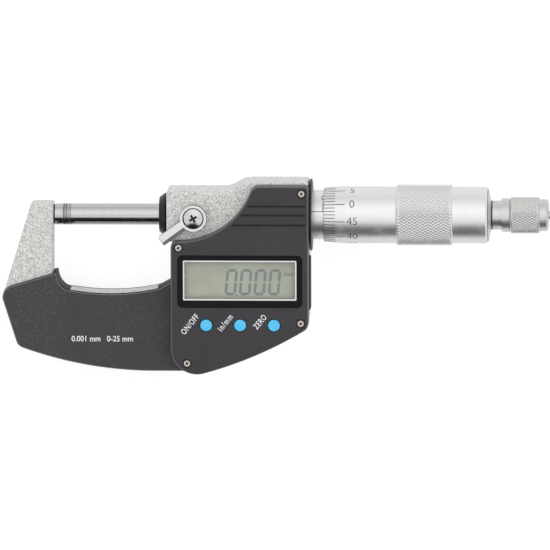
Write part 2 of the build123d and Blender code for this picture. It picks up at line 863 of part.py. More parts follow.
# Ratchet stop: a body screwed into the spindle, a sprung toothed ring and the knurled knob
with BuildPart() as ratchet_body:
    turned(
        (thimble_end - stud_length, 0),
        (thimble_end - stud_length, stud_radius),
        (thimble_end, stud_radius),
        (thimble_end, neck_radius),
        (neck_end, neck_radius),
        (neck_end, stop_collar_radius),
        (stop_collar_end - 0.2, stop_collar_radius),
        (stop_collar_end, stop_collar_radius - 0.2),
        (stop_collar_end, post_radius),
        (post_end, post_radius),
        (post_end, 0),
    )
    flat_left = stop_collar_end + 0.6
    flat_right = knob_cavity_end - 0.1
    with BuildSketch(Plane.XY.offset(post_flat)):
        with Locations(((flat_left + flat_right) / 2, 0)):
            Rectangle(flat_right - flat_left, 2 * post_radius + 1)
    extrude(amount=post_radius, mode=Mode.SUBTRACT)
    screw_left = knob_wall_end - end_screw_depth - 1.5
    tube(screw_left, post_end + 1, 0, end_screw_radius, mode=Mode.SUBTRACT)
ratchet_body.part.label = "ratchet_body"

knob_left = stop_collar_end + knob_gap
knob_root = knob_radius - knob_knurl_depth
tooth_step = 360 / click_teeth
tooth_crest_x = knob_cavity_end - click_tooth_height - click_gap


def toothed_face(base_x, direction, inner, outer):
    """A ring of ramped teeth on a face, each a wedge that narrows towards the axis."""
    for tooth in range(click_teeth):
        turn = Plane.XZ.rotated((tooth * tooth_step, 0, 0))
        sections = []
        for radius in (inner, outer):
            half = radius * tan(radians(tooth_step / 2)) * tooth_fill
            with BuildSketch(turn.offset(-radius)) as section:
                with BuildLine():
                    Polyline(
                        (base_x, -half),
                        (base_x + direction * click_tooth_height, -half),
                        (base_x, half),
                        close=True,
                    )
                make_face()
            sections.append(section.sketch)
        loft(sections)


with BuildPart() as ratchet_knob:
    turned(
        (knob_left, knob_cavity_radius),
        (knob_left, knob_root - knob_chamfer),
        (knob_left + knob_chamfer, knob_root),
        (knob_knurl_end - knob_chamfer, knob_root),
        (knob_knurl_end, knob_root - knob_chamfer),
        (knob_knurl_end, knob_end_radius),
        (knob_end - 0.7, knob_end_radius),
        (knob_end - 0.2, knob_end_radius - 0.35),
        (knob_end, knob_end_radius - 0.9),
        (knob_end, end_screw_head_radius + 0.3),
        (knob_wall_end, end_screw_head_radius + 0.3),
        (knob_wall_end, end_screw_radius + post_play),
        (post_end + post_play, end_screw_radius + post_play),
        (post_end + post_play, post_radius + post_play),
        (knob_cavity_end, post_radius + post_play),
        (knob_cavity_end, knob_cavity_radius),
    )
    toothed_face(knob_cavity_end, -1, post_radius + 0.6, pawl_radius)
ratchet_knob.part.label = "ratchet_knob"

pawl_face_x = tooth_crest_x - click_tooth_height
pawl_left = pawl_face_x - pawl_thickness
with BuildPart() as ratchet_pawl:
    tube(pawl_left, pawl_face_x, post_radius + post_play, pawl_radius)
    with BuildSketch(Plane.YZ.offset(pawl_left)):
        Circle(post_radius + post_play)
        with Locations((0, post_flat + post_play)):
            Rectangle(6.0, 6.0, align=(Align.CENTER, Align.MAX), mode=Mode.SUBTRACT)
    extrude(amount=pawl_thickness)
    toothed_face(pawl_face_x, 1, post_radius + 0.6, pawl_radius)
ratchet_pawl.part.label = "ratchet_pawl"

spring_left = stop_collar_end + click_spring_wire / 2
spring_right = pawl_left - click_spring_wire / 2
spring_pitch = (spring_right - spring_left) / click_spring_turns
with BuildPart() as ratchet_spring:
    with BuildLine():
        coil = Helix(
            pitch=spring_pitch,
            height=spring_right - spring_left,
            radius=click_spring_radius,
            center=(spring_left, 0, 0),
            direction=(1, 0, 0),
        )
    with BuildSketch(Plane(origin=coil @ 0, z_dir=coil % 0)):
        Rectangle(click_spring_wire, click_spring_wire)
    sweep()
ratchet_spring.part.label = "ratchet_spring"

with BuildPart() as ratchet_screw:
    turned(
        (knob_wall_end - end_screw_depth, 0),
        (knob_wall_end - end_screw_depth, end_screw_radius),
        (knob_wall_end + post_play, end_screw_radius),
        (knob_wall_end + post_play, end_screw_head_radius),
        (end_screw_end - 0.3, end_screw_head_radius),
        (end_screw_end, end_screw_head_radius - 0.4),
        (end_screw_end, 0),
    )
ratchet_screw.part.label = "ratchet_screw"

# Front cover: a moulded shell with the sweep round the lock, the ribs and the window seat
view_middle = ((view_left + view_right) / 2, (view_top + view_bottom) / 2)
window_middle = ((window_left + window_right) / 2, (window_top + window_bottom) / 2)
window_size = (window_right - window_left, window_top - window_bottom)
with BuildPart() as front_cover:
    with BuildSketch(Plane.XY.offset(face_z)):
        add(housing_outline.sketch)
    extrude(amount=cover_height)
    fillet(front_cover.faces().sort_by(Axis.Z)[-1].edges(), cover_edge_radius)
    with BuildSketch(Plane.XY.offset(face_z)):
        housing_inset(cover_wall)
        with Locations(*screw_spots):
            Circle(screw_post_radius, mode=Mode.SUBTRACT)
    extrude(amount=cover_height - cover_skin, mode=Mode.SUBTRACT)
    with BuildSketch(Plane.XY.offset(face_z)):
        housing_inset(gasket_from)
        with BuildSketch(mode=Mode.SUBTRACT):
            housing_inset(gasket_to)
    extrude(amount=gasket_thickness, mode=Mode.SUBTRACT)
    with BuildSketch(Plane.XY.offset(cover_front_z)):
        with Locations(window_middle):
            play = 2 * window_play
            RectangleRounded(window_size[0] + play, window_size[1] + play, window_corner)
    extrude(amount=-(window_thickness + window_sink), mode=Mode.SUBTRACT)
    with BuildSketch(Plane.XY.offset(cover_front_z)):
        with Locations(view_middle):
            RectangleRounded(view_right - view_left, view_top - view_bottom, view_corner)
    extrude(amount=-cover_height, mode=Mode.SUBTRACT)
    with BuildSketch(Plane.XY.offset(cover_front_z)):
        for spot in button_spots:
            with Locations((spot, button_y)):
                Circle(button_radius + button_play)
    extrude(amount=-cover_height, mode=Mode.SUBTRACT)
    with BuildSketch(Plane.XY.offset(cover_front_z)):
        for rib_left, rib_y in rib_lines:
            with Locations(((rib_left + rib_right) / 2, rib_y)):
                Rectangle(rib_right - rib_left, rib_width)
    extrude(amount=-rib_depth, mode=Mode.SUBTRACT)
    with Locations(*[(x, y, cover_front_z) for x, y in screw_spots]):
        CounterBoreHole(
            radius=screw_shank_radius + 0.1,
            counter_bore_radius=screw_bore_radius,
            counter_bore_depth=screw_head_height + screw_head_below,
            depth=cover_height,
        )
front_cover.part.label = "front_cover"

with BuildPart() as cover_gasket:
    with BuildSketch(Plane.XY.offset(face_z)):
        housing_inset(gasket_from)
        with BuildSketch(mode=Mode.SUBTRACT):
            housing_inset(gasket_to)
        with Locations(*screw_spots):
            Circle(screw_shank_radius + running_play, mode=Mode.SUBTRACT)
    extrude(amount=gasket_thickness)
cover_gasket.part.label = "cover_gasket"

with BuildPart() as cover_screws:
    head_z = cover_front_z - screw_head_below - screw_head_height
    with BuildSketch(Plane.XY.offset(face_z - screw_depth)):
        with Locations(*screw_spots):
            Circle(screw_shank_radius)
    extrude(amount=head_z - face_z + screw_depth)
    with BuildSketch(Plane.XY.offset(head_z)):
        with Locations(*screw_spots):
            Circle(screw_head_radius)
    extrude(amount=screw_head_height)
    head_faces = cover_screws.faces().filter_by(Axis.Z).group_by(Axis.Z)[-1]
    chamfer(head_faces.edges(), screw_head_rounding)
    with BuildSketch(Plane.XY.offset(cover_front_z - screw_head_below)):
        with Locations(*screw_spots):
            Rectangle(*screw_recess, rotation=recess_turn)
            Rectangle(*screw_recess, rotation=recess_turn + 90)
    extrude(amount=-screw_recess_depth, mode=Mode.SUBTRACT)
cover_screws.part.label = "cover_screws"

with BuildPart() as display_window:
    with BuildSketch(Plane.XY.offset(cover_front_z - window_sink)):
        with Locations(window_middle):
            RectangleRounded(*window_size, window_corner)
    extrude(amount=-window_thickness)
display_window.part.label = "display_window"

lcd_size = (view_right - view_left + 2 * lcd_overlap, view_top - view_bottom + 2 * lcd_overlap)
with BuildPart() as lcd_panel:
    with BuildSketch(Plane.XY.offset(lcd_z)):
        with Locations(view_middle):
            Rectangle(*lcd_size)
    extrude(amount=-lcd_thickness)
lcd_panel.part.label = "lcd_panel"

with BuildPart() as connector_strips:
    with BuildSketch(Plane.XY.offset(board_z)):
        strip_shift = (lcd_size[1] - strip_width) / 2
        for shift in (-strip_shift, strip_shift):
            with Locations((view_middle[0], view_middle[1] + shift)):
                Rectangle(lcd_size[0] - 2.0, strip_width)
    extrude(amount=lcd_z - lcd_thickness - board_z)
connector_strips.part.label = "connector_strips"

with BuildPart() as circuit_board:
    with BuildSketch(Plane.XY.offset(face_z)):
        housing_inset(board_inset)
        with Locations((housing_left, board_top_y)):
            Rectangle(*below_board, align=(Align.CENTER, Align.MAX), mode=Mode.INTERSECT)
        with Locations(*screw_spots):
            Circle(screw_post_radius + 0.3, mode=Mode.SUBTRACT)
    extrude(amount=board_thickness)
circuit_board.part.label = "circuit_board"

with BuildPart() as controller_chip:
    with BuildSketch(Plane.XY.offset(face_z)):
        with Locations(chip_spot):
            Rectangle(chip_size, chip_size)
    extrude(amount=-chip_height)
    fillet(controller_chip.edges().filter_by(Axis.Z), 0.5)
controller_chip.part.label = "controller_chip"

# Buttons over a rubber mat with one dome for each
button_foot_z = board_z + mat_thickness + mat_dome + button_travel + 0.05
button_top_z = cover_front_z + button_proud
with BuildPart() as button_mat:
    with BuildSketch(Plane.XY.offset(board_z)):
        with Locations((sum(button_spots) / 3, button_y)):
            Rectangle(button_spots[2] - button_spots[0] + 2 * mat_overhang, mat_width)
    extrude(amount=mat_thickness)
    with BuildSketch(Plane.XY.offset(board_z + mat_thickness)):
        for spot in button_spots:
            with Locations((spot, button_y)):
                Circle(mat_dome_radius)
    extrude(amount=mat_dome, taper=20)
button_mat.part.label = "button_mat"

buttons = {}
for name, spot in zip(("button_power", "button_units", "button_zero"), button_spots):
    with BuildPart() as push_button:
        with BuildSketch(Plane.XY.offset(button_foot_z)):
            with Locations((spot, button_y)):
                Circle(button_radius)
        extrude(amount=button_top_z - button_foot_z)
        fillet(push_button.edges().sort_by(Axis.Z)[-1], button_rounding)
        with BuildSketch(Plane.XY.offset(button_foot_z)):
            with Locations((spot, button_y)):
                Circle(button_flange_radius)
        extrude(amount=button_flange)
    push_button.part.label = name
    buttons[name] = push_button

# Data port: a rubber plug in the right wall, in front of the board's connector
with BuildPart() as data_port_cover:
    with BuildSketch(Plane.YZ.offset(casting_right)):
        with Locations((port_y, port_z)):
            RectangleRounded(port_length, port_height, 1.2)
    extrude(amount=port_proud)
    chamfer(data_port_cover.faces().sort_by(Axis.X)[-1].edges(), port_bulge)
    with BuildSketch(Plane.YZ.offset(casting_right)):
        with Locations((port_y, port_z)):
            RectangleRounded(port_plug_length, port_plug_height, port_plug_height / 3)
    extrude(amount=-port_plug_depth)
data_port_cover.part.label = "data_port_cover"

connector_right = casting_right - tray_wall - 0.1
with BuildPart() as data_connector:
    with BuildSketch(Plane.XY.offset(face_z)):
        with Locations((connector_right, port_y)):
            Rectangle(connector_depth, connector_length, align=(Align.MAX, Align.CENTER))
    extrude(amount=-connector_height)
    with BuildSketch(Plane.YZ.offset(connector_right)):
        with Locations((port_y, port_z + 1.6)):
            Rectangle(connector_length - 2.0, 1.2)
    extrude(amount=-2.0, mode=Mode.SUBTRACT)
data_connector.part.label = "data_connector"

# Button cell in its holder, closed from the back by the quarter-turn cap
cap_inner_z = tray_z + cap_play + cap_lug_height
cell_z = cap_inner_z + 0.3
cell_top_z = cell_z + cell_height
with BuildPart() as battery_cap:
    with BuildSketch(Plane(origin=(*cell_spot, back_z + cap_sink))):
        Circle(cap_radius)
    extrude(amount=cap_flange)
    with BuildSketch(Plane(origin=(*cell_spot, back_z + cap_sink))):
        Circle(cap_body_radius)
    extrude(amount=cap_inner_z - back_z - cap_sink)
    with BuildSketch(Plane(origin=(*cell_spot, tray_z + cap_play))):
        cap_lugs(cap_lug_radius, cap_lug_angle, [0, 180])
    extrude(amount=cap_lug_height)
    with BuildSketch(Plane(origin=(*cell_spot, cap_shelf_z))):
        Circle(cap_body_radius)
        Circle(cap_body_radius - ring_seal, mode=Mode.SUBTRACT)
    extrude(amount=ring_seal, mode=Mode.SUBTRACT)
    with BuildSketch(Plane(origin=(*cell_spot, back_z + cap_sink))):
        SlotOverall(coin_slot_length, coin_slot_width, rotation=coin_slot_turn)
    extrude(amount=coin_slot_depth, mode=Mode.SUBTRACT)
battery_cap.part.label = "battery_cap"
with BuildPart() as cap_seal:
    with BuildSketch(Plane(origin=(*cell_spot, cap_shelf_z))):
        Circle(cap_body_radius + cap_play / 2)
        Circle(cap_body_radius - ring_seal, mode=Mode.SUBTRACT)
    extrude(amount=ring_seal)
cap_seal.part.label = "cap_seal"
with BuildPart() as battery_cell:
    with BuildSketch(Plane(origin=(*cell_spot, cell_z))):
        Circle(cell_radius)
    extrude(amount=cell_height)
    chamfer(battery_cell.edges().group_by(Axis.Z)[-1], cell_chamfer)
battery_cell.part.label = "battery_cell"

holder_bore_radius = cell_radius + cell_play
lug_room_z = cap_inner_z + cap_play
with BuildPart() as battery_holder:
    with BuildSketch(Plane(origin=(*cell_spot, tray_z))):
        Circle(holder_radius)
    extrude(amount=cell_top_z - tray_z)
    with BuildSketch(Plane(origin=(*cell_spot, tray_z))):
        Circle(holder_bore_radius)
    extrude(amount=cell_top_z - tray_z, mode=Mode.SUBTRACT)
    with BuildSketch(Plane(origin=(*cell_spot, tray_z))):
        Circle(holder_radius - holder_wall)
    extrude(amount=lug_room_z - tray_z, mode=Mode.SUBTRACT)
    with BuildSketch(Plane(origin=(*cell_spot, cell_top_z))):
        with Locations((holder_bore_radius, 0)):
            Rectangle(2 * contact_thickness, contact_width + 0.2)
    extrude(amount=-contact_reach - 0.5, mode=Mode.SUBTRACT)
battery_holder.part.label = "battery_holder"

with BuildPart() as contact_top:
    with BuildSketch(Plane.XZ.offset(-(cell_spot[1] - contact_width / 2))):
        with BuildLine():
            Polyline(
                (cell_spot[0] + contact_reach, cell_top_z + contact_thickness / 2),
                (cell_spot[0] - contact_reach, cell_top_z + contact_thickness / 2),
                (cell_spot[0] - contact_reach, face_z),
            )
        trace(line_width=contact_thickness)
    extrude(amount=-contact_width)
contact_top.part.label = "contact_top"
with BuildPart() as contact_side:
    with BuildSketch(Plane.XY.offset(cell_top_z - contact_reach)):
        with Locations((cell_spot[0] + holder_bore_radius, cell_spot[1])):
            Rectangle(contact_thickness, contact_width)
    extrude(amount=face_z - cell_top_z + contact_reach)
contact_side.part.label = "contact_side"

pieces = [
    frame_body,
    anvil,
    anvil_tip,
    *grip_covers.values(),
    spindle_seal_cap,
    spindle_wiper,
    lock_lever,
    lock_screw,
    lock_plug,
    encoder_stator,
    encoder_rotor,
    rotor_bush,
    rotor_key,
    rotor_spring_washer,
    nut_barrel,
    adjusting_nut,
    sleeve,
    sleeve_collar,
    spindle,
    spindle_tip,
    thimble,
    ratchet_body,
    ratchet_knob,
    ratchet_pawl,
    ratchet_spring,
    ratchet_screw,
    front_cover,
    cover_gasket,
    cover_screws,
    display_window,
    lcd_panel,
    connector_strips,
    circuit_board,
    controller_chip,
    button_mat,
    *buttons.values(),
    data_port_cover,
    data_connector,
    battery_cap,
    cap_seal,
    battery_cell,
    battery_holder,
    contact_top,
    contact_side,
]
os.makedirs("parts", exist_ok=True)
for piece in pieces:
    export_step(piece.part, f"parts/{piece.part.label}.step")
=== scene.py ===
import math

import bmesh
import bpy
from mathutils import Matrix, Vector


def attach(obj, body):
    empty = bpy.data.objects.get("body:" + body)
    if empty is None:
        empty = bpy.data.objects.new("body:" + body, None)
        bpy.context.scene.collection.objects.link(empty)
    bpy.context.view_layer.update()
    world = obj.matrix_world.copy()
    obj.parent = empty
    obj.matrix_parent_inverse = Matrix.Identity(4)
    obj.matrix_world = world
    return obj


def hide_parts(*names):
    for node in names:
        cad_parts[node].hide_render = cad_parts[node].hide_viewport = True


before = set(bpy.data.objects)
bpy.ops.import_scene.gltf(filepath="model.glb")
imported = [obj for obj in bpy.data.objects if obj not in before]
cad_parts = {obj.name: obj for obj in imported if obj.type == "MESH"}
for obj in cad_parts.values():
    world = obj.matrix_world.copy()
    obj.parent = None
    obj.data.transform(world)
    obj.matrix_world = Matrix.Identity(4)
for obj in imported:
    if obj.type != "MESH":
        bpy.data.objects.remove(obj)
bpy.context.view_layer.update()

MM = 0.001

# Sizes on the spindle axis, in millimetres from the anvil's face
spindle_radius = 3.25
anvil_end, carbide_length = -9.6, 1.1
groove_from, groove_to, groove_radius = -3.9, -3.5, 3.05
spindle_tip_from, spindle_tip_to = 0.02, 1.42
casting_right, sleeve_end = 74.4, 107.2
sleeve_bore, sleeve_radius = 6.5, 7.5
collar_left, collar_right, collar_radius = 74.75, 75.5, 11.05
thimble_left, thimble_bore, thimble_edge_radius = 79.1, 7.6, 8.2
bevel_end, thimble_radius = 85.4, 8.7
knurl_from, knurl_to, knurl_root, knurl_crest = 101.3, 118.6, 9.15, 9.35
thimble_web, thimble_end = 123.5, 130.45
thimble_rounding_from, thimble_rounding, thimble_rounding_drop = 128.4, 1.5, 2.1
knob_left, knob_knurl_end, knob_shoulder, knob_end = 136.25, 145.2, 147.3, 148.0
knob_drawn_left, knob_bore, knob_root, knob_crest = 136.13, 4.4, 5.42, 5.6

# Levels of the display side, and how far print stands off its face
cover_front_z = 12.5
grip_front_z = 6.5
lcd_z = 10.8
floor_z = -11.3
print_lift = 0.012
segment_lift = 0.02

# Keys and display, as places on the display side
key_row_y = -32.63
key_radius = 1.79
lock_spot = (39.3, 0.0)
window_middle = (53.65, -18.8)
label_turn = 51

# Scale lines: angles are from +Z towards +Y
line_width = 0.2
numbered_every = 5
travel = 25
first_mark_x = 78.95
half_mark_turn, sleeve_numeral_turn = 14.5, 37.0
dial_numeral_x, numeral_turn = 87.87, 1.2
datum_angle = 14.4
dial_zero_angle = 28.8
dial_lines = 50
dial_step = 360 / dial_lines


def srgb(red, green, blue):
    """A colour given as 0 to 255 levels, as linear light."""
    levels = [level / 255 for level in (red, green, blue)]
    return tuple(v / 12.92 if v <= 0.04045 else ((v + 0.055) / 1.055) ** 2.4 for v in levels)


def shaded(level, factor, lift=0.0):
    """A colour given as levels, darker or lighter by a factor in linear light."""
    return tuple(min(1.0, factor * v + lift) for v in srgb(*level))


# Node graphs


class Field:
    """A node's output that takes part in arithmetic."""

    def __init__(self, graph, socket):
        self.graph = graph
        self.socket = socket

    def math(self, operation, *values):
        return self.graph.node("ShaderNodeMath", {"operation": operation}, dict(enumerate(values)))

    def __add__(self, other):
        return self.math("ADD", self, other)

    __radd__ = __add__

    def __mul__(self, other):
        return self.math("MULTIPLY", self, other)

    __rmul__ = __mul__

    def __sub__(self, other):
        return self.math("SUBTRACT", self, other)

    def __rsub__(self, other):
        return self.math("SUBTRACT", other, self)

    def __truediv__(self, other):
        return self.math("DIVIDE", self, other)

    def __mod__(self, other):
        return self.math("MODULO", self, other)

    def __pow__(self, other):
        return self.math("POWER", self, other)

    def __lt__(self, other):
        return self.math("LESS_THAN", self, other)

    def __abs__(self):
        return self.math("ABSOLUTE", self)

    def floor(self):
        return self.math("FLOOR", self)

    def sine(self):
        return self.math("SINE", self)

    def cosine(self):
        return self.math("COSINE", self)

    def largest(self, other):
        return self.math("MAXIMUM", self, other)


class Graph:
    """A node tree that is built by naming node types, settings and socket values."""

    def __init__(self, tree):
        self.tree = tree

    def feed(self, socket, value):
        if isinstance(value, Field):
            self.tree.links.new(value.socket, socket)
        else:
            socket.default_value = value

    def node(self, kind, settings=None, inputs=None, output=0):
        node = self.tree.nodes.new(kind)
        for name, value in (settings or {}).items():
            setattr(node, name, value)
        for key, value in (inputs or {}).items():
            self.feed(node.inputs[key], value)
        return Field(self, node.outputs[output])

    def vector(self, x=0.0, y=0.0, z=0.0):
        return self.node("ShaderNodeCombineXYZ", None, {0: x, 1: y, 2: z})

    def parts(self, vector):
        split = self.tree.nodes.new("ShaderNodeSeparateXYZ")
        self.feed(split.inputs[0], vector)
        return [Field(self, output) for output in split.outputs]

    def ease(self, value, low, high, start=0.0, end=1.0):
        """A smooth step from start to end as a value goes from low to high."""
        inputs = {"Value": value, "From Min": low, "From Max": high, "To Min": start, "To Max": end}
        return self.node("ShaderNodeMapRange", {"interpolation_type": "SMOOTHSTEP"}, inputs)

    def mix(self, factor, first, second):
        """A colour between two others, which are sockets 6 and 7 of the node, and output 2 the result."""
        first = first if isinstance(first, Field) else (*first, 1.0)
        second = second if isinstance(second, Field) else (*second, 1.0)
        return self.node("ShaderNodeMix", {"data_type": "RGBA"}, {0: factor, 6: first, 7: second}, 2)


class Finish(Graph):
    """A material, with the nodes that make its surface."""

    def __init__(self, name, colour, roughness, metallic=0.0, **sockets):
        self.material = bpy.data.materials.new(name)
        self.material.use_nodes = True
        super().__init__(self.material.node_tree)
        self.shader = self.tree.nodes["Principled BSDF"]
        self.set("Base Color", (*colour, 1.0))
        self.set("Roughness", roughness)
        self.set("Metallic", metallic)
        for socket, value in sockets.items():
            self.set(socket.replace("_", " "), value)

    def set(self, name, value):
        self.feed(self.shader.inputs[name], value)

    def place(self, stretch=(1.0, 1.0, 1.0), centre=(0.0, 0.0, 0.0)):
        """Object coordinates in millimetres from a centre, stretched along each axis."""
        coordinates = self.node("ShaderNodeTexCoord", output="Object")
        scale = [1000 * s for s in stretch]
        shift = [-c * s for c, s in zip(centre, stretch)]
        inputs = {"Vector": coordinates, "Location": shift, "Scale": scale}
        return self.node("ShaderNodeMapping", None, inputs)

    def noise(self, place, scale, detail=2.0, roughness=0.5):
        inputs = {"Vector": place, "Scale": scale, "Detail": detail, "Roughness": roughness}
        return self.node("ShaderNodeTexNoise", None, inputs)

    def cells(self, place, scale, feature="DISTANCE_TO_EDGE"):
        inputs = {"Vector": place, "Scale": scale}
        return self.node("ShaderNodeTexVoronoi", {"feature": feature}, inputs)

    def bump(self, height, depth):
        """A Bump node on the shader's normal, with its depth in millimetres."""
        inputs = {"Height": height, "Distance": depth * MM, "Strength": 1.0}
        self.set("Normal", self.node("ShaderNodeBump", None, inputs))

    def inside(self, place, centre, size, corner, soft=0.04):
        """A mask that is 1 inside a rounded rectangle on the XY plane."""
        x, y, _ = self.parts(place)
        over_x = (abs(x - centre[0]) - (size[0] / 2 - corner)).largest(0.0)
        over_y = (abs(y - centre[1]) - (size[1] / 2 - corner)).largest(0.0)
        distance = (over_x**2.0 + over_y**2.0) ** 0.5
        return self.ease(distance, corner - soft, corner + soft, 1.0, 0.0)


# Finishes


def hammered_enamel():
    """Silver grey enamel whose film has drawn up into a fine web of creases."""
    finish = Finish("hammered_enamel", srgb(212, 212, 209), 0.42, 0.15)
    place = finish.place()
    sway = finish.node("ShaderNodeTexNoise", None, {"Vector": place, "Scale": 0.9, "Detail": 2.0}, "Color")
    moved = {0: sway, 1: (1.6, 1.6, 1.6), 2: place}
    bent = finish.node("ShaderNodeVectorMath", {"operation": "MULTIPLY_ADD"}, moved)
    web = finish.ease(finish.cells(bent, 1.1), 0.0, 0.12)
    fine_web = finish.ease(finish.cells(bent, 1.95), 0.0, 0.13)
    broken = finish.ease(finish.noise(place, 1.4, 1.0), 0.3, 0.5)
    fine_broken = finish.ease(finish.noise(place, 1.7, 1.0), 0.42, 0.55)
    crease = (1.0 - (1.0 - web) * broken) * (1.0 - 0.7 * (1.0 - fine_web) * fine_broken)
    speckle = finish.noise(place, 4.0, 2.0, 0.6)
    tone = finish.mix(crease, srgb(166, 166, 163), srgb(238, 238, 235))
    specks = finish.ease(speckle, 0.45, 0.7, 0.0, 0.2)
    finish.set("Base Color", finish.mix(specks, tone, srgb(188, 188, 186)))
    finish.set("Roughness", 0.4 + 0.16 * speckle)
    finish.bump(crease + 0.12 * speckle, 0.03)
    return finish.material


def moulded_plastic(name, level, roughness, grain=1.6, depth=0.02, fleck=0.25, faced=None, dark_lines=()):
    """Dark plastic with the fine spark-eroded grain of its mould.

    Faced gives the level of its flat face, the width of the edge round it, and the levels of grey of
    that edge, painted lighter as a highlight, and of the walls below it, painted as the light and shade
    that fall on them.
    """
    finish = Finish(name, srgb(*level), roughness, Specular_IOR_Level=0.35)
    place = finish.place()
    grit = finish.noise(place, grain, 4.0, 0.7)
    cloud = finish.noise(place, 0.06, 2.0)
    flecks = finish.ease(grit, 0.5, 0.68, 0.0, fleck)
    tone = finish.mix(flecks, srgb(*level), shaded(level, 1.75))
    tone = finish.mix(finish.ease(cloud, 0.35, 0.65, 0.0, 0.5), tone, shaded(level, 0.82))
    if faced:
        face, edge, edge_highlight_level, wall_shading_level = faced
        height = abs(finish.parts(place)[2])
        below_edge = finish.ease(height, face - edge - 0.08, face - edge + 0.08, 1.0, 0.0)
        on_edge = finish.ease(height, face - 0.12, face - 0.03, 1.0, 0.0)
        # Dark lines painted as shade along grooves, with no edge highlight over them
        for spot, size in dark_lines:
            line = finish.inside(place, spot, size, 0.1)
            on_edge = on_edge * (1.0 - line)
            tone = finish.mix(line, tone, shaded(level, 0.45))
        # Painted highlight on the edge round the face, then painted light and shade on the walls below it
        tone = finish.mix(on_edge, tone, srgb(*edge_highlight_level))
        tone = finish.mix(below_edge, tone, srgb(*wall_shading_level))
    finish.set("Base Color", tone)
    finish.set("Roughness", roughness - 0.05 + 0.12 * grit)
    finish.bump(grit, depth)
    return finish.material


def turned_metal(name, level, roughness, lines=5.0, depth=0.004, mottle=0.25, dark_rings=()):
    """Metal with the fine rings that turning or grinding leaves round its axis."""
    finish = Finish(name, srgb(*level), roughness, 1.0)
    stretched = finish.place((1.0, 0.02, 0.02))
    rings = finish.noise(stretched, lines, 3.0, 0.65)
    bands = finish.noise(stretched, lines * 0.18, 2.0)
    smear = finish.noise(finish.place(), 0.35, 3.0, 0.6)
    worn = finish.ease(bands, 0.35, 0.7, 0.0, mottle)
    tone = finish.mix(worn, srgb(*level), shaded(level, 0.8))
    x = finish.parts(finish.place())[0]
    # Dark rings painted as shade where the metal meets a groove, crevice or joint
    for spot, half in dark_rings:
        near = finish.ease(abs(x - spot), half - 0.05, half + 0.05, 1.0, 0.0)
        tone = finish.mix(near, tone, srgb(40, 38, 40))
    finish.set("Base Color", tone)
    finish.set("Roughness", roughness - 0.04 + 0.08 * rings + 0.08 * finish.ease(smear, 0.4, 0.75))
    finish.bump(rings, depth)
    return finish.material


def knurled_metal(name, level, roughness, root, crest):
    """Turned metal whose knurl has painted shade between its diamonds, mottled in the valleys."""
    finish = Finish(name, srgb(*level), roughness, 1.0)
    place = finish.place()
    _, y, z = finish.parts(place)
    radius = (y**2.0 + z**2.0) ** 0.5
    mottle = finish.noise(place, 0.6, 3.0, 0.6)
    # Painted shade in the valleys, mottled, fading to the metal's own level towards the crests
    bottom = finish.mix(mottle, srgb(96, 94, 92), srgb(140, 138, 136))
    finish.set("Base Color", finish.mix(finish.ease(radius, root, crest), bottom, srgb(*level)))
    finish.set("Roughness", roughness + 0.1 * mottle)
    return finish.material


def polished_metal(name, level, roughness):
    """Bright plated metal with faint wipe marks."""
    finish = Finish(name, srgb(*level), roughness, 1.0)
    wipes = finish.noise(finish.place((0.35, 1.6, 1.0)), 1.4, 4.0, 0.7)
    finish.set("Roughness", roughness + 0.1 * finish.ease(wipes, 0.45, 0.8))
    finish.bump(wipes, 0.002)
    return finish.material


def screw_metal(name, level, roughness, spots, reach, recess_z, gap=None, metallic=1.0):
    """Plated metal with painted shade in its cross recesses, up to a reach from their spots and below a
    level.

    A piece with a gap also has painted shade in the joint of that radius round its first spot and on
    its upright walls.
    """
    finish = Finish(name, srgb(*level), roughness, 1.0)
    place = finish.place()
    x, y, z = finish.parts(place)
    radii = [((x - spot[0]) ** 2.0 + (y - spot[1]) ** 2.0) ** 0.5 for spot in spots]
    # Painted shade in the recesses, and in the joint round a gap
    painted_shade = 0.0
    for radius in radii:
        painted_shade = finish.ease(radius, reach, reach + 0.1, 1.0, 0.0) + painted_shade
    painted_shade = painted_shade * finish.ease(z, recess_z - 0.03, recess_z + 0.03, 1.0, 0.0)
    if gap:
        painted_shade = painted_shade + finish.ease(abs(radii[0] - gap), 0.1, 0.16, 1.0, 0.0)
    wipes = finish.noise(finish.place((0.5, 1.4, 1.0)), 1.4, 4.0, 0.7)
    worn = finish.mix(finish.ease(wipes, 0.4, 0.75, 0.0, 0.4), srgb(*level), shaded(level, 0.6))
    # Upright walls painted darker, as shade
    if gap:
        upright = abs(finish.parts(finish.node("ShaderNodeTexCoord", output="Normal"))[2])
        worn = finish.mix(finish.ease(upright, 0.3, 0.7, 0.75, 0.0), worn, srgb(104, 102, 100))
    finish.set("Base Color", finish.mix(painted_shade, worn, srgb(38, 34, 32)))
    finish.set("Roughness", roughness + 0.08 * wipes + 0.4 * painted_shade)
    finish.set("Metallic", metallic - 0.8 * metallic * painted_shade)
    return finish.material


def window_pane():
    """Clear window with a black printed border and a light line round the view."""
    finish = Finish("window_pane", srgb(18, 16, 19), 0.08, Specular_IOR_Level=0.12)
    place = finish.place()
    line = finish.inside(place, window_middle, (34.75, 12.3), 0.35)
    view = finish.inside(place, window_middle, (33.95, 11.5), 0.2)
    smudge = finish.noise(place, 0.3, 4.0, 0.65)
    finish.set("Base Color", finish.mix(line, srgb(18, 16, 19), srgb(236, 238, 238)))
    finish.set("Alpha", 1.0 - 0.93 * view)
    finish.set("Roughness", 0.06 + 0.08 * finish.ease(smudge, 0.4, 0.8))
    finish.material.surface_render_method = "BLENDED"
    return finish.material


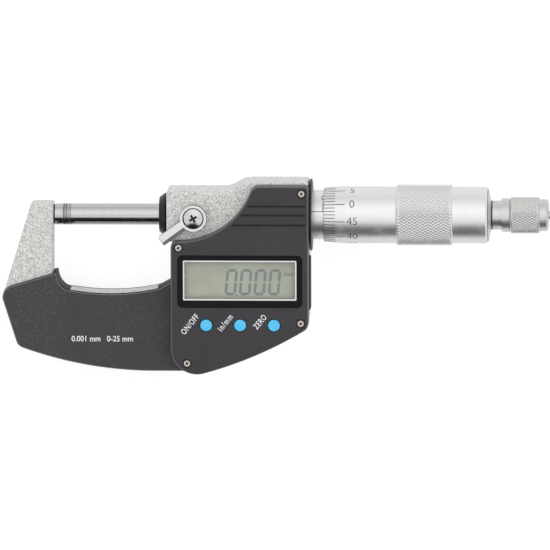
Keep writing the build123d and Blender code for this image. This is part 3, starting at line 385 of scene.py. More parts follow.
def lcd_sheet():
    """Grey-green liquid crystal with a soft darker edge."""
    finish = Finish("lcd_sheet", srgb(170, 175, 154), 0.3)
    place = finish.place()
    lit = finish.inside(place, (53.55, -18.8), (32.6, 9.8), 0.6, 1.0)
    veil = finish.noise(place, 0.12, 2.0)
    tone = finish.mix(finish.ease(veil, 0.35, 0.65), srgb(166, 171, 150), srgb(176, 181, 160))
    finish.set("Base Color", finish.mix(lit, srgb(150, 155, 138), tone))
    finish.set("Roughness", 0.25 + 0.1 * veil)
    return finish.material


def soft_rubber(name, level, roughness=0.75):
    """Matt rubber with a dusty bloom."""
    finish = Finish(name, srgb(*level), roughness)
    bloom = finish.noise(finish.place(), 0.8, 5.0, 0.65)
    dusty = finish.ease(bloom, 0.4, 0.75, 0.0, 0.6)
    finish.set("Base Color", finish.mix(dusty, srgb(*level), shaded(level, 1.5, 0.004)))
    finish.set("Roughness", roughness + 0.1 * bloom)
    finish.bump(bloom, 0.01)
    return finish.material


def button_plastic():
    """Light blue keys, half gloss, with a faint mottled grain."""
    finish = Finish("button_plastic", srgb(78, 198, 248), 0.4)
    grain = finish.ease(finish.noise(finish.place(), 1.8, 3.0, 0.6), 0.35, 0.65)
    finish.set("Base Color", finish.mix(grain, srgb(70, 192, 248), srgb(104, 212, 252)))
    finish.set("Roughness", 0.28 + 0.12 * grain)
    finish.bump(grain, 0.004)
    return finish.material


def solder_mask():
    """Green board with the faint pattern of its copper under the mask."""
    finish = Finish("solder_mask", srgb(20, 84, 46), 0.4)
    tracks = finish.ease(finish.cells(finish.place(), 0.9), 0.02, 0.06)
    finish.set("Base Color", finish.mix(tracks, srgb(44, 120, 70), srgb(18, 78, 42)))
    finish.bump(tracks, 0.02)
    return finish.material


def printed_ink(name, level):
    """Ink that covers unevenly, in patches."""
    finish = Finish(name, srgb(*level), 0.55)
    patchy = finish.noise(finish.place(), 6.0, 3.0, 0.6)
    thin = finish.ease(patchy, 0.5, 0.8, 0.0, 0.5)
    finish.set("Base Color", finish.mix(thin, srgb(*level), shaded(level, 0.75, 0.02)))
    return finish.material


enamel = hammered_enamel()
groove_end = 73.8
groove_starts = ((56.2, 4.14), (54.1, 1.38), (51.4, -1.69))
# The cover's three rib grooves, painted as dark lines of shade
rib_lines = [
    (((start + groove_end) / 2, y), (groove_end - start + 0.1, 0.65)) for start, y in groove_starts
]
# Grips: a painted highlight on the face's edge, and the walls below painted dark as shade
grip_faced = (grip_front_z, 0.42, (130, 128, 130), (20, 19, 21))
grip_plastic = moulded_plastic("grip_plastic", (66, 64, 67), 0.6, 1.2, 0.05, 1.0, grip_faced)
# Cover: a painted highlight on the face's edge, and the walls below painted lighter where light falls
cover_faced = (cover_front_z, 0.62, (98, 96, 100), (84, 82, 86))
cover_plastic = moulded_plastic("cover_plastic", (57, 55, 59), 0.5, 1.7, 0.02, 0.6, cover_faced, rib_lines)
black_plastic = moulded_plastic("black_plastic", (26, 25, 27), 0.34, 2.0, 0.004, 0.1)
ground_steel = turned_metal("ground_steel", (198, 197, 198), 0.13, 9.0, 0.0008)
# Dark rings painted as shade: in the anvil's groove, and at the carbide tips' faces and joint
anvil_steel = turned_metal("anvil_steel", (198, 197, 198), 0.13, 9.0, 0.0008, 0.25, [(-3.75, 0.24)])
carbide_rings = [(-0.7, 0.12), (0.0, 0.1), (spindle_tip_to, 0.08)]
carbide = turned_metal("carbide", (176, 174, 176), 0.26, 9.0, 0.002, 0.6, carbide_rings)
satin_chrome = turned_metal("satin_chrome", (233, 233, 232), 0.38, 6.0, 0.003, 0.12)
# Dark rings painted as shade under the thimble's edge and at its rounded end
thimble_chrome = turned_metal(
    "thimble_chrome", (233, 233, 232), 0.38, 6.0, 0.003, 0.12, [(79.12, 0.07), (129.45, 0.1)]
)
knob_chrome = turned_metal("knob_chrome", (212, 211, 210), 0.36, 6.0, 0.003)
# Dark ring painted as shade in the neck behind the thimble
neck_chrome = turned_metal("neck_chrome", (212, 211, 210), 0.36, 6.0, 0.003, 0.2, [(130.65, 0.18)])
# Both knurls are painted darker between root and crest, as shade in their valleys
knurl_chrome = knurled_metal("knurl_chrome", (236, 235, 234), 0.34, 9.12, 9.22)
knob_knurl_chrome = knurled_metal("knob_knurl_chrome", (226, 225, 223), 0.34, 5.4, 5.48)
bright_chrome = polished_metal("bright_chrome", (222, 222, 222), 0.12)
screw_spots = [(34.85, -8.8), (72.6, 7.96), (72.3, -32.1), (37.41, -44.5)]
screw_steel = screw_metal("screw_steel", (220, 212, 204), 0.25, screw_spots, 0.85, 12.28)
# The lever's reach and level leave it no recess shade; it has painted shade in its hub joint and on its
# walls
lever_metal = screw_metal("lever_metal", (232, 232, 230), 0.34, [lock_spot], 0.1, -50.0, 3.13, 0.75)
lock_metal = screw_metal("lock_metal", (208, 208, 210), 0.1, [lock_spot], 1.5, 10.28)
spring_steel = turned_metal("spring_steel", (150, 150, 152), 0.3)
brass = turned_metal("brass", (190, 152, 84), 0.28)
pane = window_pane()
lcd = lcd_sheet()
rubber = soft_rubber("rubber", (34, 33, 35))
grey_rubber = soft_rubber("grey_rubber", (108, 108, 110))
button_blue = button_plastic()
board_green = solder_mask()
black_ink = printed_ink("black_ink", (34, 34, 36))
white_ink = printed_ink("white_ink", (244, 246, 248))
segment_ink = printed_ink("segment_ink", (108, 120, 122))

node_finish = {
    "frame": enamel,
    "front_grip_cover": grip_plastic,
    "rear_grip_cover": grip_plastic,
    "spindle_wiper": rubber,
    "lock_plug": brass,
    "encoder_stator": board_green,
    "encoder_rotor": board_green,
    "rotor_bush": brass,
    "rotor_key": ground_steel,
    "rotor_spring_washer": spring_steel,
    "nut_barrel": ground_steel,
    "adjusting_nut": ground_steel,
    "spindle": ground_steel,
    "ratchet_pawl": ground_steel,
    "ratchet_spring": spring_steel,
    "ratchet_body": neck_chrome,
    "front_cover": cover_plastic,
    "cover_gasket": rubber,
    "cover_screws": screw_steel,
    "display_window": pane,
    "lcd_panel": lcd,
    "connector_strips": grey_rubber,
    "circuit_board": board_green,
    "controller_chip": black_plastic,
    "button_mat": grey_rubber,
    "data_port_cover": rubber,
    "data_connector": black_plastic,
    "battery_cap": black_plastic,
    "cap_seal": rubber,
    "battery_cell": bright_chrome,
    "battery_holder": black_plastic,
    "contact_top": spring_steel,
    "contact_side": spring_steel,
}
for node_name, material in node_finish.items():
    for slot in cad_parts[node_name].material_slots:
        slot.material = material


# Shapes


def add_piece(name, mesh, material, body):
    """A finished mesh as a piece of the model that rides on a body."""
    mesh.materials.clear()
    mesh.materials.append(material)
    piece = bpy.data.objects.new(name, mesh)
    bpy.context.scene.collection.objects.link(piece)
    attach(piece, body)
    return piece


def mark_sharp(mesh, angle):
    """Smooth shading, with the edges sharp where faces meet at more than an angle in degrees."""
    shape = bmesh.new()
    shape.from_mesh(mesh)
    for face in shape.faces:
        face.smooth = True
    for edge in shape.edges:
        if len(edge.link_faces) == 2:
            edge.smooth = edge.calc_face_angle(0.0) < math.radians(angle)
    shape.to_mesh(mesh)
    shape.free()


def hollow_corner(shape):
    """Draws the throat's corner at the arm into a hollow curve."""
    foot = Vector((-3.0, -17.4, 0.0))
    along = Vector((0.537, -0.844, 0.0))
    inward = Vector((-0.844, -0.537, 0.0))
    length, hollow, strips = 6.9, 0.95, 13
    whole_depth, last_depth = 1.6, 3.2
    nearby = 0.009
    for step in range(1, strips):
        spot = (foot + along * length * step / strips) * MM
        faces = [f for f in shape.faces if any((v.co - spot).length < nearby for v in f.verts)]
        geometry = {item for face in faces for item in (face, *face.edges, *face.verts)}
        bmesh.ops.bisect_plane(shape, geom=list(geometry), plane_co=spot, plane_no=along)
    for vert in shape.verts:
        away = vert.co / MM - foot
        way = away.dot(along) / length
        depth = abs(away.dot(inward))
        if 0.0 < way < 1.0 and depth < last_depth:
            fade = 1.0 - max(0.0, (depth - whole_depth) / (last_depth - whole_depth))
            vert.co += inward * (hollow * MM * math.sin(math.pi * way) * fade)


def smooth_copy(node, material, body, angle=28.0, reshape=None):
    """A merged, smoothly shaded copy of a CAD node that stands in its place."""
    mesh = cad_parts[node].data.copy()
    shape = bmesh.new()
    shape.from_mesh(mesh)
    bmesh.ops.remove_doubles(shape, verts=shape.verts, dist=1e-7)
    if reshape:
        reshape(shape)
    shape.to_mesh(mesh)
    shape.free()
    name = node + "_surface"
    mesh.name = name
    if mesh.has_custom_normals:
        mesh.attributes.remove(mesh.attributes["custom_normal"])
    mark_sharp(mesh, angle)
    piece = add_piece(name, mesh, material, body)
    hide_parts(node)


def rounded(outline, radius, steps=4):
    """An outline with each of its corners turned through a small arc."""
    points = [Vector(p) for p in outline]
    result = []
    for i, corner in enumerate(points):
        before = points[i - 1] - corner
        after = points[(i + 1) % len(points)] - corner
        turn = math.pi - before.angle(after, math.pi)
        if corner.y < 1e-6 or turn < 0.12:
            result.append(corner)
            continue
        cut = min(radius * math.tan(turn / 2), 0.45 * before.length, 0.45 * after.length)
        start = corner + before.normalized() * cut
        end = corner + after.normalized() * cut
        for step in range(steps + 1):
            t = step / steps
            result.append(start * (1 - t) ** 2 + corner * 2 * t * (1 - t) + end * t**2)
    return result


def turned_piece(node, outline, material, body, edge, axis=None, segments=160):
    """A lathe shape that stands in a node's place, from a closed outline of (along, radius) points.

    Its corners get small edge radii. The axis is the spindle's, or the upright line through the
    (x, y) point that is given.
    """
    name = node + "_turned"
    shape = bmesh.new()
    rings = []
    for point in rounded(outline, edge):
        count = 1 if point.y < 1e-6 else segments
        ring = []
        for i in range(count):
            turn = math.tau * i / count
            across, up = point.y * math.sin(turn), point.y * math.cos(turn)
            if axis is None:
                spot = (point.x, across, up)
            else:
                spot = (axis[0] + across, axis[1] + up, point.x)
            ring.append(shape.verts.new([MM * v for v in spot]))
        rings.append(ring)
    for ring, after in zip(rings, rings[1:] + rings[:1]):
        if len(ring) == 1 and len(after) == 1:
            continue
        for i in range(segments):
            j = (i + 1) % segments
            quad = [ring[i % len(ring)], ring[j % len(ring)], after[j % len(after)], after[i % len(after)]]
            corners = [v for k, v in enumerate(quad) if v not in quad[:k]]
            shape.faces.new(corners)
    bmesh.ops.recalc_face_normals(shape, faces=shape.faces)
    mesh = bpy.data.meshes.new(name)
    shape.to_mesh(mesh)
    shape.free()
    mark_sharp(mesh, 32.0)
    piece = add_piece(name, mesh, material, body)
    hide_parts(node)


def flat_mesh(name, polygons, z):
    """Flat polygons of (x, y) points in millimetres at a level, facing up."""
    shape = bmesh.new()
    for polygon in polygons:
        corners = [shape.verts.new((MM * x, MM * y, MM * z)) for x, y in polygon]
        shape.faces.new(corners)
    bmesh.ops.recalc_face_normals(shape, faces=shape.faces)
    for face in shape.faces:
        if face.normal.z < 0:
            face.normal_flip()
    mesh = bpy.data.meshes.new(name)
    shape.to_mesh(mesh)
    shape.free()
    return mesh


def text_mesh(name, words, height, width_scale=1.0, spacing=1.0, weight=0.0):
    """The words as a flat mesh in millimetres, centred on the origin."""
    curve = bpy.data.curves.new(name, "FONT")
    curve.body = words
    curve.size = 1.0
    curve.align_x = "CENTER"
    curve.space_character = spacing
    curve.offset = weight
    curve.resolution_u = 5
    writing = bpy.data.objects.new(name, curve)
    bpy.context.scene.collection.objects.link(writing)
    depsgraph = bpy.context.evaluated_depsgraph_get()
    mesh = bpy.data.meshes.new_from_object(writing.evaluated_get(depsgraph))
    bpy.data.objects.remove(writing)
    ys = [v.co.y for v in mesh.vertices]
    xs = [v.co.x for v in mesh.vertices]
    scale = height / (max(ys) - min(ys))
    sized = Matrix.Diagonal((scale * width_scale, scale, 1.0, 1.0))
    middle = Vector(((max(xs) + min(xs)) / 2, (max(ys) + min(ys)) / 2, 0.0))
    mesh.transform(sized @ Matrix.Translation(-middle))
    mesh.name = name
    return mesh


def lettering(name, words, height, spot, level, turn, material, body, slot, **options):
    """Printed words on a face that looks up, turned by an angle in degrees."""
    mesh = text_mesh(name, words, height, **options)
    place = Matrix.Translation((*spot, level)) @ Matrix.Rotation(math.radians(turn), 4, "Z")
    mesh.transform(Matrix.Scale(MM, 4) @ place)
    return add_piece(name, mesh, material, body)


def wrapped_numeral(words, height, x, angle, radius, **options):
    """A numeral laid round the spindle axis, in slices fine enough to follow the curve."""
    mesh = text_mesh("numeral", words, height, **options)
    shape = bmesh.new()
    shape.from_mesh(mesh)
    bpy.data.meshes.remove(mesh)
    slice_height = 0.25
    level = -height
    while level < height:
        geometry = [*shape.verts, *shape.edges, *shape.faces]
        bmesh.ops.bisect_plane(shape, geom=geometry, plane_co=(0, level, 0), plane_no=(0, 1, 0))
        level += slice_height
    for vert in shape.verts:
        turn = math.radians(angle) + vert.co.y / radius
        reach = radius + print_lift
        vert.co = Vector((x + vert.co.x, reach * math.sin(turn), reach * math.cos(turn))) * MM
    return shape


def joined(name, shapes):
    """Several bmesh shapes as one mesh."""
    mesh = bpy.data.meshes.new(name)
    whole = bmesh.new()
    for shape in shapes:
        shape.to_mesh(mesh)
        shape.free()
        whole.from_mesh(mesh)
    whole.to_mesh(mesh)
    whole.free()
    return mesh


# Repeated forms


class Pattern(Graph):
    """A Geometry Nodes tree with named number inputs."""

    def __init__(self, name, inputs):
        self.group = bpy.data.node_groups.new(name, "GeometryNodeTree")
        super().__init__(self.group)
        new_socket = self.group.interface.new_socket
        new_socket(name="Geometry", in_out="OUTPUT", socket_type="NodeSocketGeometry")
        self.identifiers = {}
        for label in inputs:
            socket = new_socket(name=label, in_out="INPUT", socket_type="NodeSocketFloat")
            self.identifiers[label] = socket.identifier
        entry = self.tree.nodes.new("NodeGroupInput")
        self.given = {label: Field(self, entry.outputs[label]) for label in inputs}

    def close(self, geometry, material):
        real = self.node("GeometryNodeRealizeInstances", None, {0: geometry})
        dressed = self.node("GeometryNodeSetMaterial", None, {"Geometry": real, "Material": material})
        leave = self.tree.nodes.new("NodeGroupOutput")
        self.feed(leave.inputs[0], dressed)

    def grow(self, name, values):
        """The tree's result for a set of values, as a plain mesh."""
        carrier = bpy.data.objects.new(name, bpy.data.meshes.new(name))
        bpy.context.scene.collection.objects.link(carrier)
        modifier = carrier.modifiers.new("pattern", "NODES")
        modifier.node_group = self.group
        for label, value in values.items():
            modifier[self.identifiers[label]] = float(value)
        carrier.update_tag()
        depsgraph = bpy.context.evaluated_depsgraph_get()
        mesh = bpy.data.meshes.new_from_object(carrier.evaluated_get(depsgraph))
        bpy.data.objects.remove(carrier)
        mesh.name = name
        return mesh


def knurl_pattern(material):
    """Diamonds in staggered rows round the spindle axis."""
    labels = ["Start", "Pitch", "Rows", "Count", "Root", "Height", "Tip"]
    pattern = Pattern("knurl", labels)
    start, pitch, rows, count, root, height, tip = [pattern.given[label] for label in labels]
    index = pattern.node("GeometryNodeInputIndex")
    row = (index / count + 0.0001).floor()
    column = index - row * count
    turn = (column + 0.5 * (row % 2.0)) * math.tau / count
    along = start + (row + 1.0) * pitch / 2.0
    spot = pattern.vector(along * MM, root * turn.sine() * -MM, root * turn.cosine() * MM)
    points = pattern.node("GeometryNodePoints", None, {"Count": rows * count, "Position": spot})
    four_sided = {"Vertices": 4, "Radius Top": tip, "Radius Bottom": 1.0, "Depth": 1.0}
    cone = pattern.node("GeometryNodeMeshCone", None, four_sided)
    facing = pattern.node("FunctionNodeEulerToRotation", None, {0: pattern.vector(x=turn)})
    half_width = root * math.pi / count
    size = pattern.vector(pitch * 0.5 * MM, half_width * MM, height * MM)
    inputs = {"Points": points, "Instance": cone, "Rotation": facing, "Scale": size}
    diamonds = pattern.node("GeometryNodeInstanceOnPoints", None, inputs)
    pattern.close(diamonds, material)
    return pattern


def scale_pattern(material):
    """Scale lines as thin strips, laid out flat and then wrapped round the spindle axis."""
    labels = [
        "Count", "Every", "First X", "Step X", "First angle", "Step angle",
        "Short", "Long", "Width", "Turned", "Radius", "Slope", "Lift",
    ]
    pattern = Pattern("scale_lines", labels)
    given = pattern.given
    index = pattern.node("GeometryNodeInputIndex")
    is_long = (index % given["Every"]) < 0.5
    length = given["Short"] + (given["Long"] - given["Short"]) * is_long
    turned = given["Turned"]
    along = length * (1.0 - turned) + given["Width"] * turned
    round_way = given["Width"] * (1.0 - turned) + length * turned
    x = given["First X"] + given["Step X"] * index + length * (1.0 - turned) * 0.5
    degrees = given["First angle"] + given["Step angle"] * index
    y = degrees * math.radians(1.0) * given["Radius"] + length * turned * 0.5
    spots = pattern.vector(x, y, 0.0)
    points = pattern.node("GeometryNodePoints", None, {"Count": given["Count"], "Position": spots})
    sliced = {"Size X": 1.0, "Size Y": 1.0, "Vertices X": 2, "Vertices Y": 9}
    strip = pattern.node("GeometryNodeMeshGrid", None, sliced)
    size = pattern.vector(along, round_way, 1.0)
    inputs = {"Points": points, "Instance": strip, "Scale": size}
    strips = pattern.node("GeometryNodeInstanceOnPoints", None, inputs)
    flat = pattern.node("GeometryNodeRealizeInstances", None, {0: strips})
    place_x, place_y, _ = pattern.parts(pattern.node("GeometryNodeInputPosition"))
    turn = place_y / given["Radius"]
    reach = given["Radius"] + given["Slope"] * (place_x - given["First X"]) + given["Lift"]
    wrapped = pattern.vector(place_x * MM, reach * turn.sine() * MM, reach * turn.cosine() * MM)
    laid = pattern.node("GeometryNodeSetPosition", None, {"Geometry": flat, "Position": wrapped})
    pattern.close(laid, material)
    return pattern


knurl = knurl_pattern(knurl_chrome)


def knurled_band(name, left, right, margin, pitch, count, root, crest, material, body):
    """A band of diamonds whose rows fill it exactly, at about the pitch that is given."""
    sunk = 0.02
    length = right - left - 2 * margin
    rows = round(2 * length / pitch) - 1
    values = {
        "Start": left + margin,
        "Pitch": 2 * length / (rows + 1),
        "Rows": rows,
        "Count": count,
        "Root": root - sunk,
        "Height": crest - root + sunk,
        "Tip": 0.18,
    }
    add_piece(name, knurl.grow(name, values), material, body)


knurled_band(
    "thimble_knurl", knurl_from, knurl_to, 0.2, 1.63, 60, knurl_root, knurl_crest, knurl_chrome,
    "spindle_group",
)
knurled_band(
    "knob_knurl", knob_left, knob_knurl_end, 0.15, 1.4, 40, knob_root, knob_crest, knob_knurl_chrome,
    "knob_group",
)

# Scale lines and numerals
lines = scale_pattern(black_ink)
sleeve_line = {
    "Step X": 0,
    "Step angle": 0,
    "Width": line_width,
    "Turned": 0,
    "Radius": sleeve_radius,
    "Slope": 0,
    "Lift": print_lift,
}


def scale_marks(name, body, values):
    """Scale lines, with the values in which they differ from one along the sleeve."""
    add_piece(name, lines.grow(name, {**sleeve_line, **values}), black_ink, body)


dial_values = {
    "Count": dial_lines,
    "Every": numbered_every,
    "First X": thimble_left + 0.1,
    "First angle": dial_zero_angle,
    "Step angle": dial_step,
    "Short": 3.5,
    "Long": 6.5,
    "Radius": thimble_edge_radius,
    "Slope": (thimble_radius - thimble_edge_radius) / (bevel_end - thimble_left),
    "Lift": 0.03,
}
scale_marks("dial_marks", "spindle_group", dial_values)
dial_numerals = []
for line in range(0, dial_lines, numbered_every):
    angle = dial_zero_angle + line * dial_step + numeral_turn
    numeral = wrapped_numeral(str(line), 2.4, dial_numeral_x, angle, thimble_radius, weight=-0.012)
    dial_numerals.append(numeral)
dial_mesh = joined("dial_numerals", dial_numerals)
add_piece("dial_numerals", dial_mesh, black_ink, "spindle_group")

datum_values = {
    "Count": 1,
    "Every": 1,
    "First X": collar_right + 0.1,
    "First angle": datum_angle,
    "Short": 30.0,
    "Long": 30.0,
}
scale_marks("datum_line", "body", datum_values)
for name, count, first_x, first_angle, short, longer in (
    ("millimetre_marks", travel + 1, first_mark_x, datum_angle, 1.9, 2.9),
    ("half_millimetre_marks", travel, first_mark_x + 0.5, datum_angle - half_mark_turn, 1.9, 1.9),
):
    mark_values = {
        "Count": count,
        "Every": numbered_every,
        "First X": first_x,
        "Step X": 1.0,
        "First angle": first_angle,
        "Short": short,
        "Long": longer,
        "Turned": 1,
    }
    scale_marks(name, "body", mark_values)
sleeve_numerals = []
for value in range(0, travel + 1, numbered_every):
    place_x, angle = first_mark_x + value, datum_angle + sleeve_numeral_turn
    numeral = wrapped_numeral(str(value), 1.9, place_x, angle, sleeve_radius, width_scale=0.85)
    sleeve_numerals.append(numeral)
sleeve_mesh = joined("sleeve_numerals", sleeve_numerals)
add_piece("sleeve_numerals", sleeve_mesh, black_ink, "body")

# Turned pieces, as outlines of (along, radius) points
turned_shapes = [
    ("anvil", "body", "ground_steel", anvil_steel, 0.05, [
        (anvil_end, 0),
        (anvil_end, spindle_radius),
        (groove_from, spindle_radius),
        (groove_from, groove_radius),
        (groove_to, groove_radius),
        (groove_to, spindle_radius),
        (-carbide_length, spindle_radius),
        (-carbide_length, 0),
    ]),
    ("anvil_tip", "body", "carbide", carbide, 0.04, [
        (-carbide_length, 0), (-carbide_length, spindle_radius), (0, spindle_radius), (0, 0),
    ]),
    ("spindle_tip", "spindle_group", "carbide", carbide, 0.04, [
        (spindle_tip_from, 0),
        (spindle_tip_from, spindle_radius),
        (spindle_tip_to, spindle_radius),
        (spindle_tip_to, 0),
    ]),
    ("spindle_seal_cap", "body", "black_plastic", black_plastic, 0.35, [
        (28.55, 3.35), (28.55, 5.3), (30.2, 6.6), (30.5, 6.6), (30.5, 4.9), (32.95, 4.9), (32.95, 4.5),
        (29.15, 4.5), (29.15, 3.35),
    ]),
    ("sleeve", "body", "satin_chrome", satin_chrome, 0.1, [
        (casting_right, sleeve_bore),
        (casting_right, sleeve_radius),
        (sleeve_end - 0.3, sleeve_radius),
        (sleeve_end, sleeve_radius - 0.3),
        (sleeve_end, sleeve_bore),
    ]),
    ("sleeve_collar", "body", "black_plastic", black_plastic, 0.3, [
        (collar_left, sleeve_radius),
        (collar_left, collar_radius),
        (collar_right, collar_radius),
        (collar_right, sleeve_radius),
    ]),
    ("ratchet_screw", "knob_group", "ground_steel", knob_chrome, 0.25, [
        (142.6, 0), (142.6, 0.8), (147.08, 0.8), (147.08, 1.3), (148.9, 1.3), (148.9, 0),
    ]),
    ("thimble", "spindle_group", "satin_chrome", thimble_chrome, 0.06, [
        (thimble_web, thimble_bore),
        (thimble_left, thimble_bore),
        (thimble_left, thimble_edge_radius),
        (bevel_end, thimble_radius),
        (knurl_from, thimble_radius),
        (knurl_from, 8.75),
        (knurl_from + 0.4, knurl_root),
        (knurl_to - 0.4, knurl_root),
        (knurl_to, 8.75),
        (knurl_to, thimble_radius),
        (127.9, thimble_radius),
        *[
            (
                thimble_rounding_from + thimble_rounding * math.sin(math.radians(turn)),
                thimble_radius - thimble_rounding_drop * (1 - math.cos(math.radians(turn))),
            )
            for turn in range(0, 91, 10)
        ],
        (thimble_end, 4.6),
        (thimble_end, 2.6),
        (130.2, 2.6),
        (thimble_web, 3.1),
    ]),
    ("ratchet_knob", "knob_group", "satin_chrome", knob_chrome, 0.12, [
        (knob_drawn_left, knob_bore),
        (knob_drawn_left, 5.0),
        (136.55, knob_root),
        (144.95, knob_root),
        (knob_knurl_end, 5.17),
        (knob_knurl_end, 4.9),
        (knob_shoulder, 4.9),
        (147.8, 4.55),
        (knob_end, 4.0),
        (knob_end, 1.6),
        (147.0, 1.6),
        (147.0, 0.88),
        (145.48, 0.88),
        (145.48, 2.28),
        (143.9, 2.28),
        (143.9, knob_bore),
    ]),
]
for node, body, slot, material, edge, outline in turned_shapes:
    turned_piece(node, outline, material, body, edge)

key_outline = [
    (10.15, 0), (10.15, 2.6), (10.75, 2.6), (10.75, key_radius), (12.92, key_radius), (13.0, 1.5),
    (13.05, 0),
]
for node, key_x, body in (
    ("button_power", 43.33, "power_key"),
    ("button_units", 53.73, "units_key"),
    ("button_zero", 64.13, "zero_key"),
):
    axis = (key_x, key_row_y)
    turned_piece(node, key_outline, button_blue, body, 0.2, axis=axis, segments=64)

# Moulded and cast pieces with smooth shading
for node, material, body, slot in (
    ("frame", enamel, "body", "frame_paint"),
    ("front_cover", cover_plastic, "body", "cover_plastic"),
    ("front_grip_cover", grip_plastic, "body", "grip_plastic"),
    ("rear_grip_cover", grip_plastic, "body", "grip_plastic"),
    ("lock_lever", lever_metal, "lock_group", "bright_chrome"),
    ("lock_screw", lock_metal, "lock_group", "bright_chrome"),
    ("cover_screws", screw_steel, "body", "screw_steel"),
    ("data_port_cover", rubber, "body", "black_rubber"),
    ("battery_cap", black_plastic, "cap_group", "black_plastic"),
    ("spindle", ground_steel, "spindle_group", "ground_steel"),
    ("ratchet_body", neck_chrome, "spindle_group", "satin_chrome"),
    ("ratchet_spring", spring_steel, "spindle_group", "spring_steel"),
):
    reshape = hollow_corner if node in ("frame", "front_grip_cover", "rear_grip_cover") else None
    smooth_copy(node, material, body, reshape=reshape)

# Display digits, unit and labels
digit_height, digit_width, stroke, lean = 8.1, 3.6, 0.86, 0.09


def segment_shapes(left, bottom):
    """The six lit strokes of a slanted zero, with the small gaps between them."""
    gap, half, mid = 0.07, stroke / 2, digit_height / 2
    right, top = digit_width, digit_height

    def upright(x, low, high):
        return [
            (x, low),
            (x + half, low + half),
            (x + half, high - half),
            (x, high),
            (x - half, high - half),
            (x - half, low + half),
        ]

    def level(y, start, end):
        return [
            (start, y),
            (start + half, y - half),
            (end - half, y - half),
            (end, y),
            (end - half, y + half),
            (start + half, y + half),
        ]

    strokes = [
        upright(half, half + gap, mid - gap),
        upright(half, mid + gap, top - half - gap),
        upright(right - half, half + gap, mid - gap),
        upright(right - half, mid + gap, top - half - gap),
        level(half, half + gap, right - half - gap),
        level(top - half, half + gap, right - half - gap),
    ]
    return [[(left + x + lean * y, bottom + y) for x, y in shape] for shape in strokes]


digit_strokes = []
for left in (48.8, 53.23, 57.67, 62.1):
    digit_strokes.extend(segment_shapes(left, -23.55))
segment_z = lcd_z + segment_lift
digit_mesh = flat_mesh("display_digits", digit_strokes, segment_z)
add_piece("display_digits", digit_mesh, segment_ink, "body")
point_spot, point_radius = (52.6, -23.5), 0.28
point_outline = [
    (
        point_spot[0] + point_radius * math.cos(math.radians(turn)),
        point_spot[1] + point_radius * math.sin(math.radians(turn)),
    )
    for turn in range(0, 360, 30)
]
point_mesh = flat_mesh("decimal_point", [point_outline], segment_z)
add_piece("decimal_point", point_mesh, segment_ink, "body")
unit_spot = (68.65, -17.1)
lettering("display_unit", "mm", 1.1, unit_spot, segment_z, 0, segment_ink, "body", "lcd_glass", weight=0.02)

for name, words, height, spot, narrowed, spacing in (
    ("label_power", "ON/OFF", 1.85, (38.35, -32.3), 0.73, 1.12),
    ("label_units", "in/mm", 1.95, (49.15, -31.8), 0.74, 1.22),
    ("label_zero", "ZERO", 1.85, (59.8, -31.55), 0.7, 1.12),
):
    style = {"width_scale": narrowed, "spacing": spacing, "weight": 0.012}
    level = cover_front_z + print_lift
    lettering(name, words, height, spot, level, label_turn, white_ink, "body", "cover_plastic", **style)
style = {"width_scale": 0.93, "weight": 0.014}
level = grip_front_z + print_lift
words = "0.001 mm   0-25 mm"
lettering("range_print", words, 1.75, (11.1, -37.72), level, 0, white_ink, "body", "grip_plastic", **style)

# Floor, light and camera
half = 3000
floor_mesh = flat_mesh("floor", [[(-half, -half), (half, -half), (half, half), (-half, half)]], floor_z)
floor = bpy.data.objects.new("floor", floor_mesh)
bpy.context.scene.collection.objects.link(floor)
floor_finish = Finish("pale_floor", (0.35, 0.35, 0.35), 0.9, Emission_Strength=1.0)
floor_seen = floor_finish.node("ShaderNodeLightPath", output="Is Camera Ray")
floor_finish.set("Emission Color", floor_finish.mix(floor_seen, (0.6, 0.6, 0.6), (0.79, 0.79, 0.79)))
floor_mesh.materials.append(floor_finish.material)


def area_light(name, spot, target, size, power):
    """A rectangular light that faces a target, in metres and watts."""
    light = bpy.data.lights.new(name, "AREA")
    light.shape = "RECTANGLE"
    light.size, light.size_y = size
    light.energy = power
    holder = bpy.data.objects.new(name, light)
    bpy.context.scene.collection.objects.link(holder)
    aim = Vector(target) - Vector(spot)
    facing = aim.to_track_quat("-Z", "Y").to_matrix().to_4x4()
    holder.matrix_world = Matrix.Translation(spot) @ facing


area_light("top_softbox", (0.3, 2.6, 5.4), (0.06, -0.01, 0.0), (6.0, 5.0), 20.0)

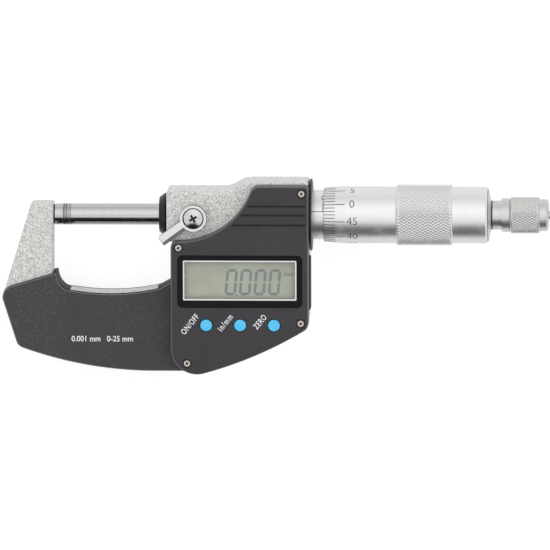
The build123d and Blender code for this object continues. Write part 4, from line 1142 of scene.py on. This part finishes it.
# The tent is white all round, apart from a dark opening low on the near side, which the metal mirrors
world = bpy.data.worlds.new("studio")
bpy.context.scene.world = world
world.use_nodes = True
tent = Graph(world.node_tree)
ray = tent.node("ShaderNodeTexCoord", output="Generated")
towards_opening = {0: ray, 1: (-0.05, -0.882, 0.469)}
nearness = tent.node("ShaderNodeVectorMath", {"operation": "DOT_PRODUCT"}, towards_opening, "Value")
tent_level = tent.ease(nearness, 0.79, 0.93, 1.0, 0.02)
world_seen = tent.node("ShaderNodeLightPath", output="Is Camera Ray")
ray_height = tent.parts(ray)[2]
warmth = tent.node("ShaderNodeMapRange", None, {"Value": ray_height, "From Min": 0.0, "From Max": 0.8})
warmth = warmth * (1.0 - world_seen) + world_seen
background = world.node_tree.nodes["Background"]
tent.feed(background.inputs["Color"], tent.mix(warmth, (0.93, 0.96, 1.0), (1.0, 0.995, 0.985)))
horizon = tent.ease(ray_height, -0.1, 0.75, 0.72, 1.04)
tent.feed(background.inputs["Strength"], tent_level * horizon * (1.0 - world_seen) + world_seen)
bpy.context.scene.view_settings.view_transform = "Standard"

# The photograph's width and its scale on the spindle axis
pixels, pixel_size = 550, 0.307
view_width = pixels * pixel_size * MM
distance = 4.0
sensor = 36.0
tilt_up, tilt_right, roll = math.radians(8.0), math.radians(2.5), math.radians(-0.18)
target = Vector((63.93, -18.76, 0.0)) * MM
towards = Vector((
    math.sin(tilt_right),
    math.sin(tilt_up) * math.cos(tilt_right),
    math.cos(tilt_up) * math.cos(tilt_right),
))
right = Vector((math.cos(tilt_right), 0.0, -math.sin(tilt_right)))
up = towards.cross(right).normalized()
right = up.cross(towards).normalized()
camera = bpy.data.cameras.new("camera")
camera.sensor_width = sensor
camera.lens = sensor * distance / view_width
camera.clip_start = 0.01
camera.clip_end = 20.0
camera.dof.use_dof = False
camera_holder = bpy.data.objects.new("camera", camera)
bpy.context.scene.collection.objects.link(camera_holder)
turn = Matrix((right, up, towards)).transposed().to_4x4() @ Matrix.Rotation(roll, 4, "Z")
camera_holder.matrix_world = Matrix.Translation(target + towards * distance) @ turn
bpy.context.scene.camera = camera_holder
